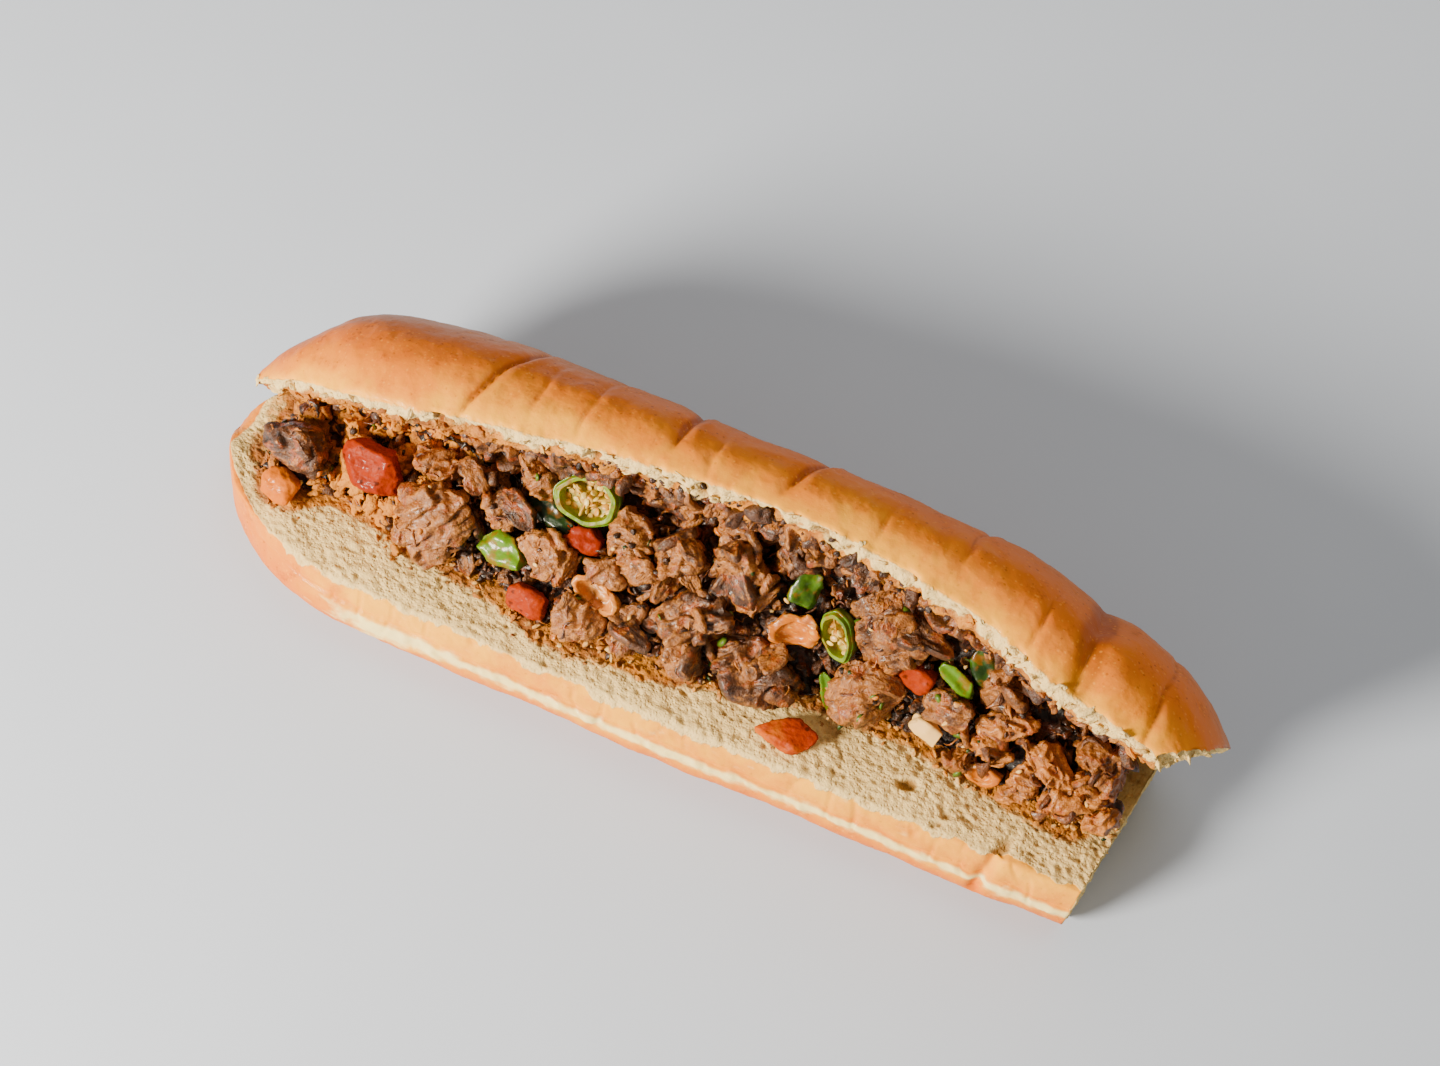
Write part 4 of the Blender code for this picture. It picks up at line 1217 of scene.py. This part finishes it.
def bread_finish():
    """Golden crust that browns towards the crown, and cream crumb that takes up the sauce."""
    f = Finish("bread", {"Subsurface Weight": 0.06, "Subsurface Radius": (1.0, 0.5, 0.2),
                         "Subsurface Scale": 1.0 * MM, "Specular IOR Level": 0.12})
    crumb, turn, soak, stretch = (f.mark(name) for name in ("crumb", "turn", "soak", "stretch"))
    hollow = f.mark("hollow")
    patches = f.noise(22, 2)
    mottle = f.noise(4.5, 4)
    fine = f.noise(0.9, 3)
    browning = (turn + (patches - 0.5) * 0.26 + (mottle - 0.5) * 0.2).ramp(-0.1, 0.34)
    pale, golden, brown = srgb(252, 176, 22), srgb(234, 136, 8), srgb(222, 111, 7)
    crust = f.mix(f.mix(pale, golden, browning.ramp(0.0, 0.5)), brown, browning.ramp(0.35, 1.0))
    crust = f.mix(crust, srgb(178, 110, 52), (turn + (patches - 0.5) * 0.25).ramp(0.22, 0.62))
    # Painted shade: the crust darkens in its creases.
    crust = f.mix(crust, srgb(120, 44, 3), ((hollow - 0.35) * (1 - crumb)).ramp(0.0, 0.7) * 0.5)
    spotted = (mottle - 0.5) + (fine - 0.5) * 0.8
    crust = f.mix(crust, srgb(126, 48, 3), spotted.ramp(0.08, 0.4) * browning * 0.5)
    pores = (f.specks(2.4) + (fine - 0.5) * 0.5).ramp(0.16, 0.05)
    crust = f.mix(crust, srgb(134, 52, 4), pores * (browning * 0.5 + 0.1))
    dots = (f.specks(1.5) + (fine - 0.5) * 0.5).ramp(0.28, 0.1)
    crust = f.mix(crust, srgb(255, 170, 56), dots * (mottle * 1.2).ramp(0.3, 0.75) * 0.45)
    flaky = stretch + (mottle - 0.5) * 1.1 + (f.noise(1.8, 4, (0.35, 1, 1)) - 0.5) * 0.9
    crust = f.mix(crust, srgb(255, 230, 150), flaky.ramp(0.25, 0.9) * stretch.ramp(0.05, 0.3))
    cream, shade = srgb(232, 201, 132), srgb(158, 118, 62)
    # Painted shade in the crumb's pits, mixed with the crumb's own random mottling.
    white = f.mix(cream, shade, ((mottle - 0.5) * 0.9 + hollow * 0.9 + (fine - 0.5) * 0.8).ramp(0.0, 1.25))
    oily = f.mix(srgb(196, 118, 8), srgb(138, 64, 3), (mottle + (patches - 0.5)).ramp(0.35, 0.7))
    ragged = (f.noise(3.4, 5, (1, 1, 1), 0.65) - 0.5) * 1.5
    soaked = (soak + ragged - 0.1).ramp(0.25, 0.8)
    inside = f.mix(white, oily, soaked * 0.9)
    edge = (crumb + (f.noise(1.6, 3) - 0.5) * 0.6).ramp(0.36, 0.64)
    colour = f.mix(crust, inside, edge)
    roughness = 0.42 + edge * 0.42 + (mottle - 0.5) * 0.2 - soaked * edge * 0.3
    height = fine * (0.3 + edge * 0.7) + f.noise(0.4, 3) * edge * 0.8
    height = height - f.specks(1.0).ramp(0.5, 0.0) * edge * 0.8
    return f.done(colour, roughness, f.bump(height, 0.4, 0.7), (1 - edge) * 0.05)


def meat_finish(name, colours, wet):
    """Fried meat: painted highlights on its crests, painted shade in its cracks, seared patches and sauce."""
    crest_highlight, light, middle, dark, sauce = colours
    f = Finish(name, {"Subsurface Weight": 0.08, "Subsurface Radius": (1.0, 0.35, 0.2),
                      "Subsurface Scale": 1.0 * MM, "Coat Roughness": 0.2, "Specular IOR Level": 0.5})
    crack, fibre, tint = (f.mark(mark_name) for mark_name in ("crack", "fibre", "tint"))
    patches = f.noise(7, 3)
    mottle = f.noise(2.2, 4, (1, 1, 1), 0.6)
    grain = f.noise(0.8, 3)
    pores = f.noise(1.3, 4, (1, 1, 1), 0.65)
    cooked_through = patches + (tint - 0.5) * 0.9 + (mottle - 0.5) * 0.6
    body = f.mix(light, middle, cooked_through.ramp(0.4, 0.66))
    body = f.mix(body, srgb(76, 43, 22), (f.noise(8, 2) + (tint - 0.5) * 0.3).ramp(0.54, 0.66) * 0.7)
    # Real searing from patches and tint, plus painted shade where the crack mark is high.
    seared_and_crack_shade = (mottle - 0.5) * 1.8 + (patches - 0.5) * 0.8 + crack * 0.6 + (tint - 0.5) * 0.75
    body = f.mix(body, dark, seared_and_crack_shade.ramp(0.18, 0.85))
    # Painted shade: darker in the pits and in the low places between fibres.
    body = f.mix(body, dark, ((pores - 0.5) * 2.0 + (0.5 - fibre) * 0.8).ramp(0.1, 0.6) * 0.62)
    oiled = (f.noise(4.0, 4, (1, 1, 1), 0.6) + (fibre - 0.5) * 0.12).ramp(0.53, 0.68)
    body = f.mix(body, sauce, oiled * 0.8)
    # Painted highlight: the first colour is laid on raised fibre crests and on the lumps between pores.
    painted_highlight_share = (fibre - 0.5) * 0.9 + (pores - 0.5) * -1.6 + 0.45 - tint * 0.25
    body = f.mix(body, crest_highlight, painted_highlight_share.ramp(0.45, 0.85) * 0.7)
    char = (f.specks(2.6) + (grain - 0.5) * 0.6).ramp(0.14, 0.04)
    body = f.mix(body, srgb(28, 14, 9), char * 0.8)
    height = fibre * 0.5 + grain * 0.6 - pores * 0.8 + f.noise(0.35, 2) * 0.35
    return f.done(body, 0.46 - (mottle - 0.5) * 0.5 - oiled * 0.12, f.bump(height, 0.6, 0.9),
                  (mottle * wet).ramp(0.2, 0.8) * 0.5)


def tomato_finish():
    """Cooked tomato, from translucent orange to ripe red, with seared specks on its skin."""
    f = Finish("tomato", {"Subsurface Weight": 0.08, "Subsurface Radius": (1.0, 0.2, 0.04),
                          "Subsurface Scale": 1.0 * MM, "Coat Roughness": 0.12, "Specular IOR Level": 0.08})
    ripe = f.mark("tint")
    patches = f.noise(4.0, 4)
    fine = f.noise(0.9, 3)
    tone = (ripe + (patches - 0.5) * 0.8)
    body = f.mix(srgb(202, 104, 0), srgb(156, 50, 0), tone.ramp(0.12, 0.6))
    body = f.mix(body, srgb(134, 33, 0), tone.ramp(0.55, 1.15))
    body = f.mix(body, srgb(92, 22, 2), (patches * 0.9 + (fine - 0.5) * 0.5).ramp(0.55, 0.8) * ripe * 0.7)
    char = (f.specks(3.2) + (f.noise(1.1, 3) - 0.5) * 0.7).ramp(0.24, 0.08)
    body = f.mix(body, srgb(38, 14, 4), char * ripe * 0.85)
    return f.done(body, 0.46 + (patches - 0.5) * 0.4, f.bump(fine, 0.3, 0.7),
                  (patches * 1.2).ramp(0.6, 0.9) * 0.3)


def pepper_finish():
    """Green pepper: dark glossy skin outside and paler flesh inside."""
    f = Finish("green pepper", {"Subsurface Weight": 0.15, "Subsurface Radius": (0.5, 1.0, 0.2),
                                "Subsurface Scale": 1.2 * MM, "Coat Roughness": 0.15,
                                "Specular IOR Level": 0.25})
    skin, tone, pale = f.mark("skin"), f.mark("tint"), f.mark("pale")
    patches = f.noise(3.5, 3)
    fine = f.noise(1.0, 3)
    deep = f.mix(srgb(86, 126, 10), srgb(18, 42, 5), (tone + (patches - 0.5) * 0.8).ramp(0.1, 0.9))
    flesh = f.mix(srgb(114, 136, 12), srgb(72, 98, 8), (patches + (tone - 0.5) * 0.5).ramp(0.35, 0.65))
    flesh = f.mix(flesh, srgb(206, 168, 64), (pale + (fine - 0.5) * 0.6).ramp(0.2, 0.9))
    flesh = f.mix(flesh, srgb(190, 110, 22), (f.noise(2.4, 3) * pale).ramp(0.35, 0.65) * 0.8)
    body = f.mix(f.mix(flesh, deep, skin), srgb(140, 74, 8), f.noise(3.0, 4).ramp(0.5, 0.66) * 0.6)
    return f.done(body, 0.38 + (patches - 0.5) * 0.4, f.bump(fine, 0.2, 0.6), skin * 0.3 + 0.05)


def onion_finish():
    """Fried onion, from cream to orange brown, with faint veins."""
    f = Finish("fried onion", {"Subsurface Weight": 0.1, "Subsurface Radius": (1.0, 0.7, 0.3),
                               "Subsurface Scale": 1.5 * MM, "Coat Roughness": 0.12,
                               "Specular IOR Level": 0.25})
    tone = f.mark("tint")
    patches = f.noise(3.5, 4)
    veins = f.noise(0.8, 2, (0.3, 1, 1))
    body = f.mix(srgb(238, 192, 116), srgb(198, 108, 5), (tone + (patches - 0.5) * 0.6).ramp(0.1, 0.8))
    body = f.mix(body, srgb(142, 70, 18), (patches + (tone - 0.5) * 0.4).ramp(0.6, 0.8) * 0.6)
    body = f.mix(body, srgb(240, 196, 116), veins.ramp(0.55, 0.7) * 0.4)
    return f.done(body, 0.34 + (patches - 0.5) * 0.3, f.bump(veins, 0.2, 0.6),
                  patches.ramp(0.35, 0.7) * 0.5)


def herb_finish():
    """Chopped green herb, dark with a few lighter flakes."""
    f = Finish("herb", {"Specular IOR Level": 0.5})
    tone = f.mark("tint") + (f.noise(1.2, 2) - 0.5) * 0.5
    body = f.mix(srgb(28, 52, 10), srgb(84, 112, 22), tone.ramp(0.3, 0.9))
    return f.done(body, 0.4, f.bump(f.noise(0.6, 2), 0.1, 0.5))


def seed_finish():
    """Pale yellow pepper seeds."""
    f = Finish("pepper seed", {"Subsurface Weight": 0.2, "Subsurface Scale": 1.0 * MM,
                               "Specular IOR Level": 0.5})
    tone = f.mark("tint") + (f.noise(1.0, 2) - 0.5)
    body = f.mix(srgb(232, 202, 108), srgb(200, 142, 44), tone.ramp(0.3, 0.9))
    return f.done(body, 0.35, f.bump(f.noise(0.5, 2), 0.1, 0.4))


# The setting

def place_camera():
    """The photo's camera: a little to the front of straight above, with the roll turned across the frame."""
    tilt, turn = math.radians(CAMERA_TILT), math.radians(CAMERA_TURN)
    back = Vector((math.sin(tilt) * math.sin(turn), -math.sin(tilt) * math.cos(turn), math.cos(tilt)))
    right = Vector((math.cos(turn), math.sin(turn), 0))
    lens = bpy.data.cameras.new("camera")
    lens.lens, lens.sensor_width = LENS, SENSOR
    camera = in_scene("camera", lens)
    camera.matrix_world = Matrix((right, back.cross(right), back)).transposed().to_4x4()
    camera.location = Vector(row(CAMERA_AIM)) + back * CAMERA_DISTANCE
    bpy.context.scene.camera = camera


def add_light(name, place, target, size, power, colour):
    """A round, soft light at a place, aimed at a target, both in metres."""
    light = bpy.data.lights.new(name, "AREA")
    light.shape, light.size, light.energy, light.color = "DISK", size, power, colour
    lamp = in_scene(name, light)
    lamp.location = place
    lamp.rotation_euler = (Vector(target) - Vector(place)).to_track_quat("-Z", "Y").to_euler()


def make_floor():
    f = Finish("pale floor", {})
    shade = f.noise(60, 2)
    colour = f.mix(srgb(196, 208, 228), srgb(202, 214, 234), shade)
    size = 12.0
    floor = new_piece("floor", [(-size, -size, 0), (size, -size, 0), (size, size, 0), (-size, size, 0)],
                      [(0, 1, 2, 3)])
    floor.data.materials.append(f.done(colour, 0.75))


def light_scene():
    """Faint warm light all round, a window at the front left, and a weaker light high at the back."""
    world = bpy.data.worlds.new("soft room")
    world.use_nodes = True
    world.node_tree.nodes["Background"].inputs["Color"].default_value = (1.0, 0.90, 0.76, 1)
    world.node_tree.nodes["Background"].inputs["Strength"].default_value = 0.25
    bpy.context.scene.world = world
    add_light("window", (-0.52, -0.66, 0.46), (0, 0, 0.03), 0.32, 30, (1.0, 0.89, 0.73))
    add_light("sky", (0.2, 0.5, 0.9), (0, 0, 0), 0.8, 3.6, (1.0, 0.92, 0.80))


def strewn_bits(net, below, place, kinds, finishes):
    """The small bits on the filling: shaved meat, mince, pulled strands, onion, herb and soaked crumbs."""
    x, y = place[..., 0], place[..., 1]
    on_meat = np.isin(below, kinds["meat_chunk"] + kinds["meat_shred"])
    on_heap = np.isin(below, kinds["filling_heap"])
    on_bread = np.isin(below, kinds["bread"])
    coloured = [number for kind in kinds if kind.startswith(("tomato", "pepper", "onion"))
                for number in kinds[kind]]
    beside_colour = grown(np.isin(below, coloured), 5)
    front = y - along(HEAP_FRONT, x)
    inside = front > 0
    pulled = ramp(x, 202, 209) * ramp(x, 243, 240)
    left = ramp(x, 74, 58)
    meaty = 1 - 0.85 * left
    shaved = (on_meat * 0.8 + on_heap) * (front > 3) * ~beside_colour * ramp(x, 209, 203) * (1 - left)
    onions = (on_heap + 0.5 * on_meat) * inside * ramp(bumps(place, 16, 90), -0.2, 0.3)
    herbs = (on_heap + 0.7 * on_meat) * ramp(bumps(place, 14, 95), 0.0, 0.35)
    mark(net, "crumb", np.ones(x.shape))
    mark(net, "soak", 0.8 + 0.3 * bumps(place, 6, 97) + 0.4 * left)
    soaked = ramp(front, -4, -0.5) * ramp(front, 3.5, 1.5) * ramp(bumps(place, 13, 98), -0.5, 0.1)
    strands = [strip_shape("strand_%d" % k, 7.0 + 3 * (k % 3), 1.6 + 0.7 * (k % 4), 0.9, 1.3 + 0.5 * k,
                           640 + k) for k in range(8)]
    threads = [strip_shape("thread_%d" % k, 5.0 + k, 0.8, 0.5, 1.2 + 0.6 * k, 660 + k) for k in range(5)]
    slabs = [slab_shape("slab_%d" % k, 5.8, 1.8 + 0.4 * (k % 3), 800 + 10 * k) for k in range(9)]
    layers = (
        ("shaved_meat", shaved, slabs, "meat", "meat_chunk", 5.4, (0.45, 1.25), 20, -0.15, 0.8),
        ("meat_bits", on_heap * inside * (1 - 0.8 * pulled) * meaty,
         lumps("bit", 7, 3, (1.7, 1.2, 0.95), 600, 0.55, 8), "meat", "meat_chunk",
         3.1, (0.7, 2.0), 21, -0.4, 1.5),
        ("mince_grains", (on_heap * 0.7 + on_meat * 0.12) * (front > 1) * meaty,
         lumps("grain", 6, 2, (0.85, 0.62, 0.5), 620, 0.5, 4), "mince", "filling_heap",
         2.1, (0.7, 1.7), 22, -0.1, 1.5),
        ("pulled_strands", (on_heap + on_meat) * pulled * inside, strands, "shred", "meat_shred",
         3.6, (0.5, 1.15), 23, -0.6, 0.8),
        ("meat_threads", (on_heap + 0.5 * on_meat) * inside, threads, "shred", "meat_chunk",
         3.6, (0.6, 1.1), 24, -0.3, 0.6),
        ("onion_bits", onions, lumps("onion_bit", 4, 2, (1.2, 0.8, 0.6), 680, 0.3, 5), "onion", "onion_piece",
         5.0, (0.7, 1.4), 25, -0.3, 0.9),
        ("herb_flakes", herbs, lumps("flake", 4, 1, (0.95, 0.6, 0.12), 700, 0.5), "herb", "pepper_strip",
         4.4, (0.7, 2.0), 26, -0.1, 0.7),
        ("soaked_crumbs", soaked * (on_bread + on_heap),
         lumps("soaked_crumb", 6, 2, (1.2, 0.8, 0.4), 720, 0.7, 5), "bread", "baked_crust",
         1.7, (0.3, 1.4), 27, 0.1, 0.9),
        ("torn_flakes", on_heap * left, lumps("torn_flake", 6, 3, (1.9, 1.4, 0.9), 1020, 0.6), "bread",
         "baked_crust", 1.7, (0.35, 1.5), 34, 0.2, 0.8))
    strew_all(net, layers, finishes)


def lid_bits(lid, finishes):
    """Torn crumbs along the lid's cut edge, and meat that touches the lid where the filling is highest."""
    share, crumb = read_mark(lid, "share"), read_mark(lid, "crumb") > 0.6
    x = (points_of(lid)[:, 0] - ROLL_LOW[0]) / MM
    top = along(CONTACT, x) + 0.03 * bumps(points_of(lid) / MM * (1, 0, 0), 12, 31)
    inside = crumb * ramp(x, 58, 76) * ramp(x, 243, 238)
    slabs = [slab_shape("high_slab_%d" % k, 4.2, 1.8, 900 + 10 * k) for k in range(6)]
    layers = (
        ("torn_crumbs", ramp(share, top, 0.93) * crumb, lumps("torn", 6, 3, (1.7, 1.0, 0.5), 740, 0.65, 3),
         "bread", "baked_crust", 2.6, (0.5, 1.4), 28, 0.15, 0.8),
        ("high_bits", inside * ramp(share, 0.46, 0.5) * ramp(share, top, top - 0.05),
         lumps("high_bit", 7, 3, (1.8, 1.3, 1.0), 760, 0.55, 8), "meat", "meat_chunk",
         4.0, (0.9, 2.6), 29, 0.1, 1.5),
        ("high_slabs", inside * ramp(share, 0.48, 0.52) * ramp(share, top - 0.05, top - 0.1), slabs,
         "meat", "meat_chunk", 4.6, (0.6, 1.3), 32, -0.3, 0.9),
        ("high_grains", inside * ramp(share, 0.44, 0.5) * ramp(share, top + 0.06, top - 0.05),
         lumps("high_grain", 6, 2, (0.9, 0.7, 0.5), 780, 0.5, 4), "mince", "filling_heap",
         2.3, (0.6, 1.8), 30, 0.0, 1.5))
    strew_all(lid, layers, finishes)


def make_finishes():
    """Every finish, by what it is for."""
    # The first colour of each is the painted highlight on raised crests.
    meat = (srgb(190, 122, 48), srgb(146, 88, 33), srgb(86, 48, 18), srgb(30, 14, 5), srgb(150, 64, 4))
    shred = (srgb(214, 138, 50), srgb(174, 104, 31), srgb(118, 63, 16), srgb(42, 18, 5), srgb(160, 70, 4))
    mince = (srgb(104, 53, 15), srgb(78, 38, 8), srgb(44, 21, 5), srgb(16, 7, 3), srgb(112, 46, 3))
    return {"bread": bread_finish(), "meat": meat_finish("fried meat", meat, 0.8),
            "shred": meat_finish("pulled meat", shred, 0.9), "mince": meat_finish("mince", mince, 1.0),
            "tomato": tomato_finish(), "pepper": pepper_finish(), "onion": onion_finish(),
            "herb": herb_finish(), "seed": seed_finish()}


def cook_node(node, seed, finishes):
    """The detailed piece in place of one CAD node, and what kind of food it is."""
    kind = node.rsplit("_", 1)[0]
    count = int(node[-2:]) if node[-2:].isdigit() else 0
    if kind == "pepper_slice":
        piece = pepper_ring(node, finishes["pepper"], seed)
        strew(node + "_seeds", piece, (read_mark(piece, "pale") > 0.4) * 1.0,
              lumps("seed", 3, 2, (1.15, 0.95, 0.32), 500, 0.12), finishes["seed"], "pepper_slice",
              1.5, (0.75, 1.05), seed, -0.2, 0.5)
        return piece, kind
    recipes = {"meat_chunk": (cook_meat, "meat", MEAT_TONES), "meat_shred": (cook_pulled, "shred", None),
               "tomato_piece": (cook_wedge if count == 2 else cook_tomato, "tomato", TOMATO_RIPENESS),
               "pepper_strip": (cook_strip, "pepper", PEPPER_TONES),
               "onion_piece": (cook_cube if count == 3 else cook_onion, "onion", ONION_TONES)}
    cook, finish, tones = recipes[kind]
    settings = [seed, tones[count] if tones else PULLED_TONE]
    if cook is cook_onion:
        settings.append(ONION_HOLLOWS[count])
    return cooked(node, FOOD_VOXEL, cook, finishes[finish], *settings), kind


def main():
    place_camera()
    light_scene()
    make_floor()
    finishes = make_finishes()
    heel, lid = make_heel(finishes["bread"]), make_lid(finishes["bread"])
    for piece in (heel, lid):
        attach(piece, "root")
        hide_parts("bread_roll")
    pieces, kinds = [heel], {"bread": [0]}
    for number, node in enumerate(sorted(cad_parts)):
        if node in ("bread_roll", "filling_heap"):
            continue
        piece, kind = cook_node(node, 100 * number + SEED, finishes)
        kinds.setdefault(kind, []).append(len(pieces))
        pieces.append(piece)
    kinds["filling_heap"] = [len(pieces)]
    pieces.append(cooked("filling_heap", HEAP_VOXEL, cook_heap, finishes["mince"]))
    net, below, place = drape(pieces, NET_STEP)
    strewn_bits(net, below, place, kinds, finishes)
    lid_bits(lid, finishes)
    bpy.data.objects.remove(net)


main()
